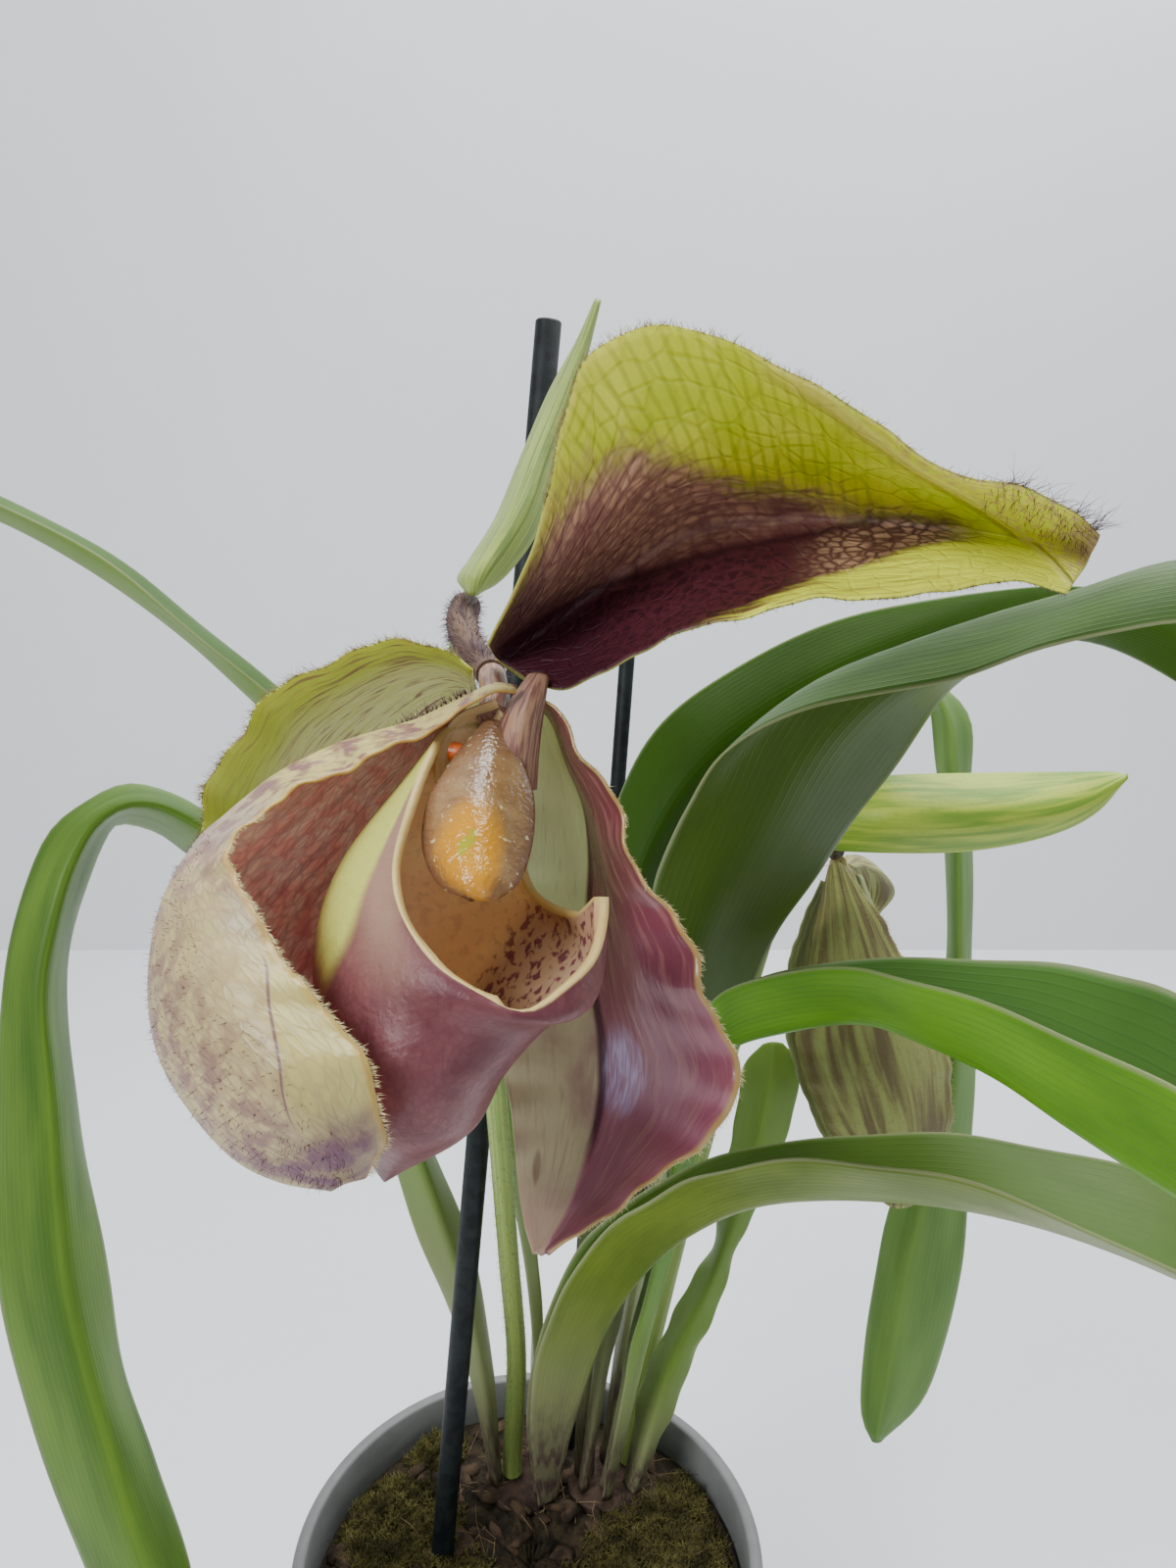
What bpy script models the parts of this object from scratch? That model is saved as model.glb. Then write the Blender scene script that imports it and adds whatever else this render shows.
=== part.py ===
"""Paphiopedilum orchid in its pot: two growths of strap leaves, two slipper flowers, two stakes.

Metres, +Z up. The origin is the middle of the pot's underside.
"""
import math

import bmesh
import bpy
import numpy as np
from mathutils import Vector

# Pot and what fills it
POT_HEIGHT = 0.105
POT_RIM_RADIUS = 0.060
POT_BASE_RADIUS = 0.043
POT_WALL = 0.0016
POT_FLOOR = 0.002
POT_RIM_BAND = 0.010
POT_RIM_STEP = 0.0018
POT_FACETS = 48
MIX_DEPTH_BELOW_RIM = 0.012
MIX_CROWN = 0.004
MIX_ROUGHNESS = 0.0016
MIX_LUMPS_ROUND = (5, 3)
MIX_LUMPS_INWARD = (7, 11)
MIX_CALM_POWER = 4
MIX_RINGS = 8
MIX_FACETS = 40
CLEARANCE = 0.0004

# Stems and stakes
STAKE_FRONT_RADIUS = 0.0029
STAKE_BACK_RADIUS = 0.0019
SCAPE_RADIUS = 0.0027
OVARY_RADIUS = 0.0026
STEM_HOLE_SPARE = 0.0006
STEM_SINK = 0.030
HOLE_TOP = 0.2

# Blade thicknesses
LEAF_THICKNESS = 0.0011
PETAL_THICKNESS = 0.0009
POUCH_THICKNESS = 0.0010

# Rows and columns of facets
LEAF_ROWS = 26
LEAF_COLUMNS = 4
PETAL_ROWS = 16
PETAL_COLUMNS = 8
PETAL_LEFT_ROWS = 20
BRACT_ROWS = 12
STAMINODE_ROWS = 8
SECOND_ROWS = 9
NARROW_COLUMNS = 4
POUCH_ROWS = 9
POUCH_COLUMNS = 20
SECOND_POUCH_ROWS = 7
SECOND_POUCH_COLUMNS = 12
SCAPE_ROWS = 18
OVARY_ROWS = 8
SHORT_STEM_ROWS = 6
STEM_SIDES = 10
STAKE_SIDES = 12
CROWN_SIDES = 14
HOLE_SIDES = 16

# Smoothing: samples for each picked point, and the angle from which an edge stays sharp
CURVE_SAMPLES = 12
LOOP_SAMPLES = 40
LOOP_STEP = 8
SHARP_ANGLE = math.radians(50)

# Tapers of the stems, and how far a slipper's wall closes in at its toe
SCAPE_TAPER = 0.9
SECOND_SCAPE_TAPER = 0.8
OVARY_TAPER = 0.8
SECOND_OVARY_START = 0.8
SECOND_OVARY_END = 0.7
TOE_SHARE = 0.25
TOE_WALL_FACTOR = 1.5

# The view in which routes are picked: each point is a column, a row and a depth in millimetres
VIEW_EYE = Vector((0.0154, -0.240, 0.376))
VIEW_TILT = math.radians(15.6)
VIEW_FOCAL = 1202.0
VIEW_MIDDLE = (600.0, 800.0)

# Leaves: far or left margin, keel, near or right margin, each from the base to the tip
LEAF_RAILS = {
    "leaf_front_low": (
        ((545, 1515, 326), (537, 1440, 314), (552, 1359, 300), (590, 1275, 284), (642, 1225, 268),
         (748, 1175, 248), (918, 1158, 236), (1063, 1170, 228), (1200, 1204, 222), (1330, 1262, 214),
         (1430, 1345, 206)),
        ((566, 1520, 324), (590, 1440, 312), (620, 1359, 298), (660, 1300, 280), (710, 1259, 262),
         (790, 1229, 240), (942, 1229, 222), (1063, 1252, 210), (1200, 1301, 200), (1320, 1368, 196),
         (1432, 1352, 204)),
        ((549, 1513, 320), (541, 1440, 307), (556, 1360, 293), (597, 1278, 276), (655, 1232, 256),
         (763, 1185, 226), (912, 1194, 206), (1063, 1233, 194), (1200, 1296, 186), (1325, 1358, 188),
         (1428, 1350, 202)),
    ),
    "leaf_right_middle": (
        ((612, 1500, 328), (640, 1380, 314), (672, 1240, 294), (694, 1110, 268), (716, 1040, 254),
         (760, 1004, 243), (840, 984, 234), (944, 980, 218), (1059, 980, 198), (1136, 994, 184),
         (1200, 1013, 172), (1320, 1090, 156), (1400, 1200, 148)),
        ((624, 1500, 324), (658, 1380, 308), (696, 1240, 285), (718, 1140, 265), (742, 1075, 242),
         (800, 1055, 226), (880, 1046, 214), (950, 1070, 200), (1021, 1105, 187), (1100, 1160, 174),
         (1200, 1225, 162), (1310, 1290, 152), (1402, 1212, 146)),
        ((614, 1498, 322), (644, 1380, 305), (678, 1240, 279), (702, 1110, 252), (724, 1024, 234),
         (780, 997, 220), (868, 990, 204), (925, 998, 193), (983, 1013, 184), (1059, 1044, 172),
         (1200, 1113, 152), (1310, 1180, 145), (1398, 1206, 144)),
    ),
    "leaf_right_short": (
        ((636, 1500, 331), (664, 1385, 326), (700, 1320, 321), (728, 1262, 316), (742, 1180, 309),
         (757, 1110, 304), (778, 1068, 298)),
        ((646, 1500, 325), (684, 1395, 317), (724, 1310, 310), (752, 1235, 304), (772, 1170, 298),
         (785, 1110, 294), (789, 1066, 296)),
        ((654, 1508, 329), (692, 1425, 322), (730, 1335, 314), (765, 1245, 307), (800, 1170, 301),
         (813, 1100, 298), (799, 1066, 297)),
    ),
    "leaf_right_broad": (
        ((590, 1500, 328), (614, 1330, 308), (638, 1180, 285), (654, 1010, 260), (668, 900, 234),
         (700, 825, 214), (734, 766, 200), (814, 730, 188), (900, 709, 182), (983, 692, 177),
         (1060, 664, 173), (1130, 645, 170), (1200, 632, 166), (1310, 640, 160), (1390, 690, 156)),
        ((592, 1500, 327), (619, 1330, 306), (647, 1180, 284), (674, 1015, 260), (700, 905, 234),
         (738, 815, 216), (775, 750, 206), (845, 694, 198), (930, 658, 190), (1021, 627, 184),
         (1100, 604, 179), (1200, 575, 175), (1310, 575, 166), (1391, 687, 157)),
        ((595, 1500, 326), (625, 1330, 305), (661, 1180, 284), (704, 1022, 261), (748, 905, 236),
         (791, 818, 219), (845, 755, 209), (900, 712, 201), (970, 680, 194), (1050, 645, 187),
         (1130, 617, 182), (1200, 598, 178), (1310, 600, 168), (1392, 688, 158)),
        ((601, 1500, 329), (635, 1330, 310), (677, 1180, 290), (758, 1020, 269), (835, 890, 246),
         (890, 808, 231), (935, 748, 218), (975, 703, 208), (1010, 680, 201), (1080, 652, 193),
         (1150, 628, 188), (1210, 615, 185), (1315, 622, 174), (1393, 691, 159)),
    ),
    "leaf_right_arch": (
        ((586, 1480, 333), (592, 1300, 320), (598, 1100, 302), (604, 940, 284), (629, 814, 268),
         (676, 737, 258), (761, 676, 250), (875, 627, 242), (1021, 602, 232), (1090, 598, 228),
         (1160, 606, 223), (1240, 640, 218), (1334, 788, 214)),
        ((596, 1480, 329), (606, 1300, 314), (616, 1100, 296), (632, 960, 279), (668, 850, 264),
         (720, 775, 254), (800, 715, 247), (900, 665, 240), (985, 635, 235), (1060, 625, 231),
         (1130, 628, 227), (1215, 655, 221), (1336, 792, 215)),
        ((606, 1482, 333), (620, 1300, 322), (640, 1100, 306), (672, 980, 292), (720, 890, 280),
         (770, 820, 270), (840, 760, 262), (920, 705, 254), (985, 674, 248), (1045, 656, 243),
         (1110, 656, 237), (1200, 693, 229), (1332, 794, 217)),
    ),
    "leaf_back_droop": (
        ((612, 1475, 339), (640, 1300, 340), (700, 1050, 341), (790, 830, 342), (880, 690, 342),
         (925, 668, 340), (948, 700, 338), (955, 780, 336), (964, 868, 335), (962, 1000, 333),
         (950, 1130, 331), (909, 1231, 329), (895, 1289, 328), (882, 1366, 327), (880, 1448, 326),
         (890, 1470, 325)),
        ((618, 1472, 335), (650, 1300, 334), (712, 1050, 333), (802, 835, 334), (885, 705, 334),
         (934, 690, 332), (966, 730, 330), (974, 800, 328), (978, 900, 327), (976, 1050, 325),
         (966, 1150, 323), (940, 1231, 321), (924, 1300, 320), (910, 1380, 320), (899, 1440, 321),
         (894, 1471, 324)),
        ((624, 1476, 339), (662, 1302, 340), (728, 1056, 341), (818, 850, 342), (898, 720, 342),
         (950, 700, 342), (984, 730, 341), (990, 800, 339), (993, 900, 338), (994, 1050, 335),
         (990, 1162, 332), (986, 1231, 330), (980, 1300, 329), (964, 1374, 328), (940, 1431, 327),
         (899, 1470, 325)),
    ),
    "leaf_left_droop": (
        ((500, 1508, 333), (478, 1400, 323), (455, 1328, 318), (424, 1249, 312), (385, 1140, 304),
         (330, 1000, 296), (260, 880, 288), (199, 819, 280), (146, 800, 273), (120, 803, 269),
         (89, 822, 264), (57, 848, 260), (31, 895, 256), (10, 958, 252), (0, 1040, 249),
         (-8, 1170, 246), (0, 1303, 244), (16, 1392, 243), (63, 1539, 242), (110, 1660, 241),
         (170, 1770, 240)),
        ((506, 1508, 329), (492, 1400, 318), (474, 1320, 312), (448, 1240, 305), (412, 1140, 297),
         (356, 1000, 288), (285, 900, 280), (215, 850, 271), (160, 822, 264), (128, 822, 260),
         (98, 840, 256), (74, 880, 252), (55, 940, 248), (42, 1010, 244), (50, 1120, 240),
         (57, 1230, 238), (68, 1324, 236), (89, 1408, 235), (120, 1512, 234), (160, 1640, 234),
         (178, 1772, 239)),
        ((512, 1510, 333), (504, 1400, 325), (492, 1320, 321), (468, 1240, 315), (432, 1150, 309),
         (374, 1020, 302), (300, 930, 296), (196, 877, 288), (157, 848, 281), (118, 838, 275),
         (101, 858, 270), (82, 915, 266), (70, 980, 262), (70, 1050, 259), (84, 1136, 256),
         (99, 1240, 253), (110, 1314, 252), (125, 1397, 250), (157, 1491, 248), (200, 1620, 246),
         (186, 1770, 241)),
    ),
    "leaf_left_high": (
        ((546, 1478, 342), (545, 1380, 338), (541, 1270, 334), (517, 1130, 326), (474, 975, 314),
         (398, 812, 294), (278, 696, 270), (199, 629, 262), (99, 560, 255), (0, 508, 249),
         (-110, 470, 244), (-220, 470, 238), (-300, 520, 232)),
        ((551, 1478, 338), (546, 1380, 330), (534, 1275, 321), (503, 1135, 310), (456, 990, 297),
         (384, 832, 279), (260, 716, 258), (184, 647, 251), (86, 577, 244), (-8, 527, 239),
         (-112, 492, 234), (-214, 491, 230), (-298, 523, 231)),
        ((556, 1478, 342), (555, 1380, 330), (549, 1275, 317), (522, 1135, 303), (472, 985, 289),
         (394, 822, 270), (270, 703, 248), (192, 637, 241), (93, 566, 235), (-4, 515, 230),
         (-111, 479, 226), (-217, 478, 226), (-297, 521, 233)),
    ),
}

# Main flower: each sepal and petal as rails across it, each rail from the hub to the tip
DORSAL_SEPAL = (
    ((498, 657, 154), (535, 580, 148), (560, 500, 142), (575, 430, 137), (597, 367, 133),
     (651, 336, 131), (709, 338, 130), (762, 356, 130), (816, 385, 130), (896, 434, 130),
     (977, 485, 131), (1040, 497, 134), (1097, 523, 138), (1122, 545, 141)),
    ((503, 667, 157), (560, 600, 154), (610, 530, 150), (660, 470, 147), (720, 440, 145),
     (800, 440, 144), (880, 465, 143), (960, 495, 142), (1040, 520, 142), (1118, 555, 142)),
    ((511, 676, 158), (570, 630, 162), (640, 580, 164), (720, 540, 164), (800, 530, 162),
     (880, 530, 158), (960, 538, 153), (1040, 550, 148), (1112, 568, 143)),
    ((524, 685, 156), (590, 668, 157), (650, 632, 156), (720, 600, 154), (800, 582, 152),
     (880, 572, 149), (960, 565, 146), (1040, 573, 144), (1104, 582, 142)),
    ((538, 694, 153), (575, 703, 149), (620, 684, 146), (651, 666, 144), (700, 644, 141),
     (762, 628, 139), (829, 612, 137), (896, 610, 136), (963, 604, 136), (1030, 592, 138),
     (1088, 606, 140)),
)
SYNSEPAL = (
    ((482, 683, 158), (460, 666, 157), (400, 655, 152), (350, 668, 150), (310, 690, 149),
     (270, 715, 149), (240, 755, 150), (215, 800, 152), (203, 850, 154), (200, 920, 157),
     (215, 1000, 161), (250, 1070, 165), (300, 1130, 168)),
    ((481, 693, 160), (450, 702, 166), (390, 730, 169), (330, 790, 173), (300, 870, 176),
     (290, 950, 177), (300, 1040, 175), (322, 1120, 171)),
    ((486, 704, 162), (475, 745, 170), (440, 810, 176), (410, 890, 180), (392, 970, 181),
     (380, 1050, 179), (352, 1125, 173)),
    ((494, 714, 164), (516, 765, 169), (505, 840, 174), (488, 920, 177), (470, 1000, 178),
     (440, 1070, 177), (370, 1130, 173)),
)
PETAL_LEFT = (
    ((527, 706, 145.6), (504, 706, 143.6), (470, 726, 142.2), (440, 746, 141.4), (400, 762, 139), (350, 787, 135), (290, 812, 130),
     (240, 858, 124), (232, 878, 121), (258, 923, 117), (290, 983, 114), (316, 1011, 112),
     (349, 1050, 111), (374, 1082, 110), (387, 1137, 110), (394, 1161, 111), (381, 1185, 113),
     (374, 1200, 114)),
    ((526, 705, 146.0), (503, 704, 144.0), (467, 722, 143.6), (430, 742, 144.2), (390, 757, 142), (335, 782, 138), (270, 812, 134),
     (216, 868, 129), (200, 900, 124), (215, 960, 116), (240, 1020, 111), (275, 1070, 108),
     (300, 1120, 107), (330, 1165, 109), (356, 1203, 113)),
    ((525, 703, 146.4), (502, 702, 144.5), (465, 718, 145.6), (425, 737, 147), (350, 760, 144), (300, 783, 141), (240, 828, 137),
     (203, 862, 134), (170, 920, 130), (155, 1000, 125), (165, 1075, 120), (200, 1135, 117),
     (245, 1182, 115), (290, 1203, 115), (339, 1211, 115)),
    ((526, 702, 146.8), (502, 701, 145.0), (470, 724, 148), (436, 764, 153), (390, 802, 153), (335, 850, 151), (280, 900, 148),
     (240, 960, 144), (225, 1030, 139), (240, 1095, 133), (275, 1150, 127), (310, 1190, 121),
     (345, 1206, 116)),
    ((527, 701, 147.2), (502, 700, 145.6), (470, 730, 150.5), (459, 794, 158), (435, 860, 160), (400, 930, 159), (368, 1000, 155),
     (345, 1060, 149), (335, 1110, 141), (340, 1150, 132), (352, 1185, 123), (356, 1204, 116)),
)
PETAL_RIGHT = (
    ((538, 712, 149), (566, 722, 148), (592, 766, 146), (624, 809, 144), (647, 876, 142), (682, 932, 140),
     (713, 972, 139), (722, 1025, 138), (752, 1082, 138), (757, 1109, 138), (731, 1152, 139),
     (694, 1186, 141), (651, 1217, 143), (600, 1254, 146), (560, 1278, 149)),
    ((535, 713, 151), (563, 726, 150), (585, 780, 150), (606, 820, 149), (625, 890, 148), (645, 960, 146),
     (662, 1030, 145), (680, 1090, 145), (676, 1140, 146), (650, 1180, 147), (610, 1225, 149),
     (556, 1279, 150)),
    ((532, 715, 153), (558, 732, 154), (575, 780, 156), (592, 830, 158), (600, 876, 159), (602, 960, 158),
     (603, 1060, 156), (604, 1146, 154), (600, 1192, 152), (585, 1235, 151), (551, 1280, 150)),
    ((528, 717, 153), (550, 736, 156), (556, 780, 158), (556, 850, 161), (552, 930, 163), (554, 1010, 161),
     (558, 1100, 157), (562, 1180, 154), (558, 1240, 152), (547, 1280, 151)),
    ((524, 719, 152), (541, 738, 155), (534, 780, 157), (516, 850, 161), (503, 930, 163), (505, 1010, 161),
     (514, 1085, 157), (521, 1131, 155), (526, 1177, 153), (532, 1235, 152), (543, 1279, 151)),
)
STAMINODE = (
    ((493, 738, 145.6), (462, 775, 140), (436, 820, 134), (432, 870, 130), (450, 905, 127),
     (478, 918, 125)),
    ((502, 737, 145.2), (497, 775, 138), (488, 820, 131), (482, 870, 127), (486, 900, 125),
     (492, 919, 125)),
    ((511, 738, 145.6), (532, 775, 141), (545, 820, 136), (541, 870, 132), (526, 905, 128),
     (506, 919, 126)),
)
BRACT_MAIN = (
    ((477, 604, 192), (467, 592, 193), (480, 570, 196), (505, 530, 199), (530, 470, 202),
     (560, 400, 204), (590, 345, 205), (608, 307, 206)),
    ((482, 607, 188.6), (486, 590, 187), (505, 562, 189), (530, 520, 192), (550, 468, 196),
     (574, 405, 200), (595, 350, 203), (610, 306, 205)),
    ((489, 604, 192), (506, 596, 193), (538, 560, 196), (558, 520, 199), (570, 470, 202),
     (586, 415, 204), (600, 360, 205), (612, 307, 206)),
)

# The slipper: its rim as a closed loop, then rings below it given by right, front, left and back
POUCH_RIM = (
    (621, 915, 127), (612, 970, 122), (581, 1003, 117), (530, 1031, 113), (484, 1010, 113),
    (440, 980, 115), (407, 925, 120), (402, 880, 125), (418, 820, 131), (436, 772, 139),
    (458, 738, 147), (503, 741, 149), (528, 782, 151), (532, 850, 150), (545, 905, 146),
    (590, 930, 137),
)
POUCH_RINGS = (
    ((604, 960, 131), (474, 1062, 111), (345, 847, 139), (485, 905, 152)),
    ((568, 1003, 134), (448, 1062, 112), (320, 935, 137), (455, 955, 152)),
    ((512, 1072, 133), (425, 1110, 112), (318, 1015, 134), (428, 1015, 150)),
    ((487, 1142, 131), (412, 1165, 116), (343, 1130, 132), (410, 1120, 146)),
)
POUCH_TOE = (392, 1207, 129)

# Second flower, which hangs with its back to the front of the pot
SEPAL_BACK_SECOND = (
    ((846, 884, 259), (835, 930, 262), (822, 1000, 264), (812, 1064, 265), (830, 1120, 266),
     (865, 1180, 266), (900, 1225, 265)),
    ((853, 880, 257), (866, 940, 257), (890, 1020, 257), (905, 1100, 258), (912, 1170, 260),
     (914, 1232, 263)),
    ((860, 884, 259), (894, 928, 262), (923, 981, 265), (950, 1030, 267), (966, 1069, 268),
     (968, 1161, 269), (930, 1230, 265)),
)
PETAL_LEFT_SECOND = (
    ((838, 898, 265), (815, 950, 268), (800, 1010, 270), (804, 1064, 272), (822, 1120, 273),
     (842, 1165, 273), (858, 1200, 273)),
    ((843, 900, 267), (832, 955, 272), (830, 1015, 275), (836, 1072, 277), (848, 1130, 277),
     (862, 1202, 275)),
    ((850, 898, 268), (848, 960, 275), (858, 1020, 279), (866, 1080, 281), (872, 1140, 281),
     (868, 1202, 277)),
)
PETAL_RIGHT_SECOND = (
    ((874, 892, 267), (892, 950, 268), (915, 1010, 272), (935, 1070, 275), (940, 1130, 276),
     (928, 1190, 276)),
    ((877, 894, 269), (900, 950, 273), (926, 1010, 279), (946, 1070, 283), (952, 1130, 284),
     (934, 1192, 280)),
    ((880, 898, 272), (902, 955, 279), (924, 1015, 287), (940, 1075, 292), (944, 1135, 292),
     (934, 1194, 284)),
)
DORSAL_SECOND = (
    ((852, 885, 271), (852, 880, 288), (858, 884, 306), (872, 905, 324), (884, 930, 334)),
    ((861, 883, 272), (868, 874, 290), (882, 878, 309), (892, 900, 326), (890, 932, 335)),
    ((871, 885, 273), (886, 886, 290), (906, 896, 308), (912, 915, 324), (896, 934, 334)),
)
POUCH_RIM_SECOND = (
    (905, 960, 290), (896, 958, 284), (884, 939, 281), (871, 924, 281), (862, 946, 289),
    (864, 954, 298), (880, 950, 302), (898, 954, 298),
)
POUCH_RINGS_SECOND = (
    ((912, 1040, 292), (886, 1050, 284), (862, 1040, 292), (888, 1030, 306)),
    ((908, 1110, 292), (888, 1120, 286), (866, 1110, 293), (888, 1100, 303)),
)
POUCH_TOE_SECOND = (888, 1165, 294)
BRACT_SECOND = (
    ((846, 867, 255), (870, 869, 251), (991, 868, 253), (1078, 850, 254), (1120, 828, 254),
     (1148, 796, 254)),
    ((842, 847, 253), (900, 836, 245), (990, 836, 246), (1070, 828, 249), (1120, 812, 252),
     (1150, 793, 254)),
    ((848, 800, 250), (901, 792, 252), (1000, 789, 254), (1080, 788, 255), (1136, 788, 255),
     (1151, 791, 255)),
)

# Routes of stems and stakes
SCAPE_MAIN = ((523, 1500, 334), (527, 1387, 317), (519, 1283, 300), (511, 1180, 283),
              (500, 1050, 266), (488, 920, 253), (478, 800, 240), (472, 700, 224),
              (472, 652, 212), (475, 624, 205), (475, 620, 201))
OVARY_MAIN = ((475, 620, 199), (474, 621, 195), (471, 636, 187), (480, 662, 175), (497, 683, 165),
              (501, 688, 161.7))
SCAPE_SECOND = ((642, 1484, 338), (682, 1300, 328), (722, 1150, 314), (766, 1000, 297),
                (800, 900, 280), (824, 862, 268), (838, 856, 262))
OVARY_SECOND = ((841, 856, 260.5), (848, 862, 257), (854, 871, 258.5))
COLUMN_SECOND = ((855, 881, 260.4), (857, 885, 263), (862, 892, 268), (866, 903, 274), (873, 920, 279),
                 (876, 926, 280))
STAKE_FRONT_FOOT = (-0.0234, 0.004, 0.093)
STAKE_FRONT_TOP = (0.0068, 0.036, 0.4045)
STAKE_BACK_FOOT = (0.0095, 0.0410, 0.093)
STAKE_BACK_TOP = (0.0264, 0.0464, 0.350)
CROWN_LEFT_PLACE = (-0.0025, 0.0270)
CROWN_RIGHT_PLACE = (0.0200, 0.0275)
CROWN_RADIUS = 0.0106
CROWN_DEPTH = 0.028
CROWN_TOP = 0.0978
CROWN_HEIGHT_SHARES = (0.0, 0.5)
CROWN_RADIUS_SHARES = (0.7, 1.0, 1.0, 0.95)
SEAT_GAP = 0.0005
COLUMN_MAIN = ((502, 690, 161), (504, 701, 156), (505, 714, 151), (503, 724, 149), (502, 732, 146.6))
COLUMN_RADIUS = 0.0019

# Finishes: colour, roughness
FINISHES = {
    "leaf_green": ((0.16, 0.30, 0.05), 0.42),
    "sepal_green": ((0.52, 0.60, 0.09), 0.55),
    "petal_mauve": ((0.36, 0.13, 0.17), 0.45),
    "pouch_maroon": ((0.28, 0.09, 0.10), 0.45),
    "column_amber": ((0.55, 0.42, 0.12), 0.35),
    "stem_brown": ((0.14, 0.08, 0.06), 0.70),
    "stake_black": ((0.012, 0.014, 0.016), 0.50),
    "pot_grey": ((0.22, 0.23, 0.23), 0.55),
    "bark_mix": ((0.075, 0.055, 0.030), 0.95),
}


def clear_scene():
    """Remove the objects that a new file starts with."""
    for thing in list(bpy.data.objects):
        bpy.data.objects.remove(thing, do_unlink=True)


def finish(name):
    """Material of one finish, made once."""
    material = bpy.data.materials.get(name)
    if material:
        return material
    colour, roughness = FINISHES[name]
    material = bpy.data.materials.new(name)
    material.use_nodes = True
    shader = material.node_tree.nodes["Principled BSDF"]
    shader.inputs["Base Color"].default_value = (*colour, 1.0)
    shader.inputs["Roughness"].default_value = roughness
    shader.inputs["Metallic"].default_value = 0.0
    return material


def add_object(name, vertices, faces, finish_name):
    """Object made of the given vertices and faces, smooth except at sharp edges."""
    mesh = bpy.data.meshes.new(name)
    mesh.from_pydata([tuple(point) for point in vertices], [], faces)
    mesh.update()
    mesh.materials.append(finish(finish_name))
    mesh.shade_smooth()
    mesh.set_sharp_from_angle(angle=SHARP_ANGLE)
    thing = bpy.data.objects.new(name, mesh)
    bpy.context.scene.collection.objects.link(thing)
    return thing


def seen(column, row, depth):
    """World point at a column, row and depth (millimetres) of the view."""
    reach = depth / 1000.0
    across = (column - VIEW_MIDDLE[0]) / VIEW_FOCAL * reach
    up = (VIEW_MIDDLE[1] - row) / VIEW_FOCAL * reach
    forward = reach * math.cos(VIEW_TILT) + up * math.sin(VIEW_TILT)
    rise = up * math.cos(VIEW_TILT) - reach * math.sin(VIEW_TILT)
    return VIEW_EYE + Vector((across, forward, rise))


def smooth_line(points, count):
    """Evenly spaced points on a smooth curve through the given ones."""
    knots = np.array([tuple(point) for point in points])
    steps = np.linalg.norm(np.diff(knots, axis=0), axis=1) ** 0.5
    times = np.concatenate(([0.0], np.cumsum(steps)))
    slopes = np.gradient(knots, times, axis=0)
    fine_times = np.linspace(0.0, times[-1], CURVE_SAMPLES * len(knots))
    spans = np.clip(np.searchsorted(times, fine_times, side="right") - 1, 0, len(knots) - 2)
    widths = times[spans + 1] - times[spans]
    local = ((fine_times - times[spans]) / widths)[:, None]
    widths = widths[:, None]
    start_weight = 2 * local ** 3 - 3 * local ** 2 + 1
    start_slope = local ** 3 - 2 * local ** 2 + local
    end_weight = 3 * local ** 2 - 2 * local ** 3
    end_slope = local ** 3 - local ** 2
    fine = (start_weight * knots[spans] + start_slope * widths * slopes[spans]
            + end_weight * knots[spans + 1] + end_slope * widths * slopes[spans + 1])
    lengths = np.concatenate(([0.0], np.cumsum(np.linalg.norm(np.diff(fine, axis=0), axis=1))))
    wanted = np.linspace(0.0, lengths[-1], count)
    return np.stack([np.interp(wanted, lengths, fine[:, axis]) for axis in range(3)], axis=1)


def standing(route):
    """World points of a route whose first point stands on the growths' bases."""
    points = [seen(*point) for point in route]
    points[0].z = CROWN_TOP + SEAT_GAP
    return points


def rail_grid(rails, rows, columns, creased):
    """Grid of points over a blade: rows run along it, columns run across its rails."""
    if creased:
        lines = [smooth_line(standing(rail), rows + 1) for rail in rails]
    else:
        lines = [smooth_line([seen(*point) for point in rail], rows + 1) for rail in rails]
    grid = np.zeros((rows + 1, columns + 1, 3))
    for row in range(rows + 1):
        stations = [line[row] for line in lines]
        if creased:
            positions = np.linspace(0.0, len(stations) - 1, columns + 1)
            for axis in range(3):
                values = [station[axis] for station in stations]
                grid[row, :, axis] = np.interp(positions, range(len(stations)), values)
        else:
            grid[row] = smooth_line(stations, columns + 1)
    return grid


def grid_normals(grid, closed=False):
    """Unit normal at each grid point."""
    along = np.gradient(grid, axis=0)
    if closed:
        across = (np.roll(grid, -1, axis=1) - np.roll(grid, 1, axis=1)) / 2
    else:
        across = np.gradient(grid, axis=1)
    normals = np.cross(along, across)
    sizes = np.linalg.norm(normals, axis=2, keepdims=True)
    return normals / np.maximum(sizes, 1e-12)


def add_blade(name, rails, rows, columns, thickness, finish_name, creased=False):
    """Thin closed blade over its rails, split into triangles alike on both faces."""
    grid = rail_grid(rails, rows, columns, creased)
    offset = grid_normals(grid) * thickness / 2
    vertices = list((grid + offset).reshape(-1, 3)) + list((grid - offset).reshape(-1, 3))
    lower = (rows + 1) * (columns + 1)

    def at(row, column):
        return row * (columns + 1) + column

    faces = []
    for row in range(rows):
        for column in range(columns):
            corners = (at(row, column), at(row + 1, column), at(row + 1, column + 1), at(row, column + 1))
            for triple in ((0, 1, 2), (0, 2, 3)):
                one, two, three = (corners[index] for index in triple)
                faces.append((one, two, three))
                faces.append((three + lower, two + lower, one + lower))
    edge = [at(row, 0) for row in range(rows)]
    edge += [at(rows, column) for column in range(columns)]
    edge += [at(row, columns) for row in range(rows, 0, -1)]
    edge += [at(0, column) for column in range(columns, 0, -1)]
    for here, there in zip(edge, edge[1:] + edge[:1]):
        faces.append((there, here, here + lower))
        faces.append((there, here + lower, there + lower))
    return add_object(name, vertices, faces, finish_name)


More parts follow.
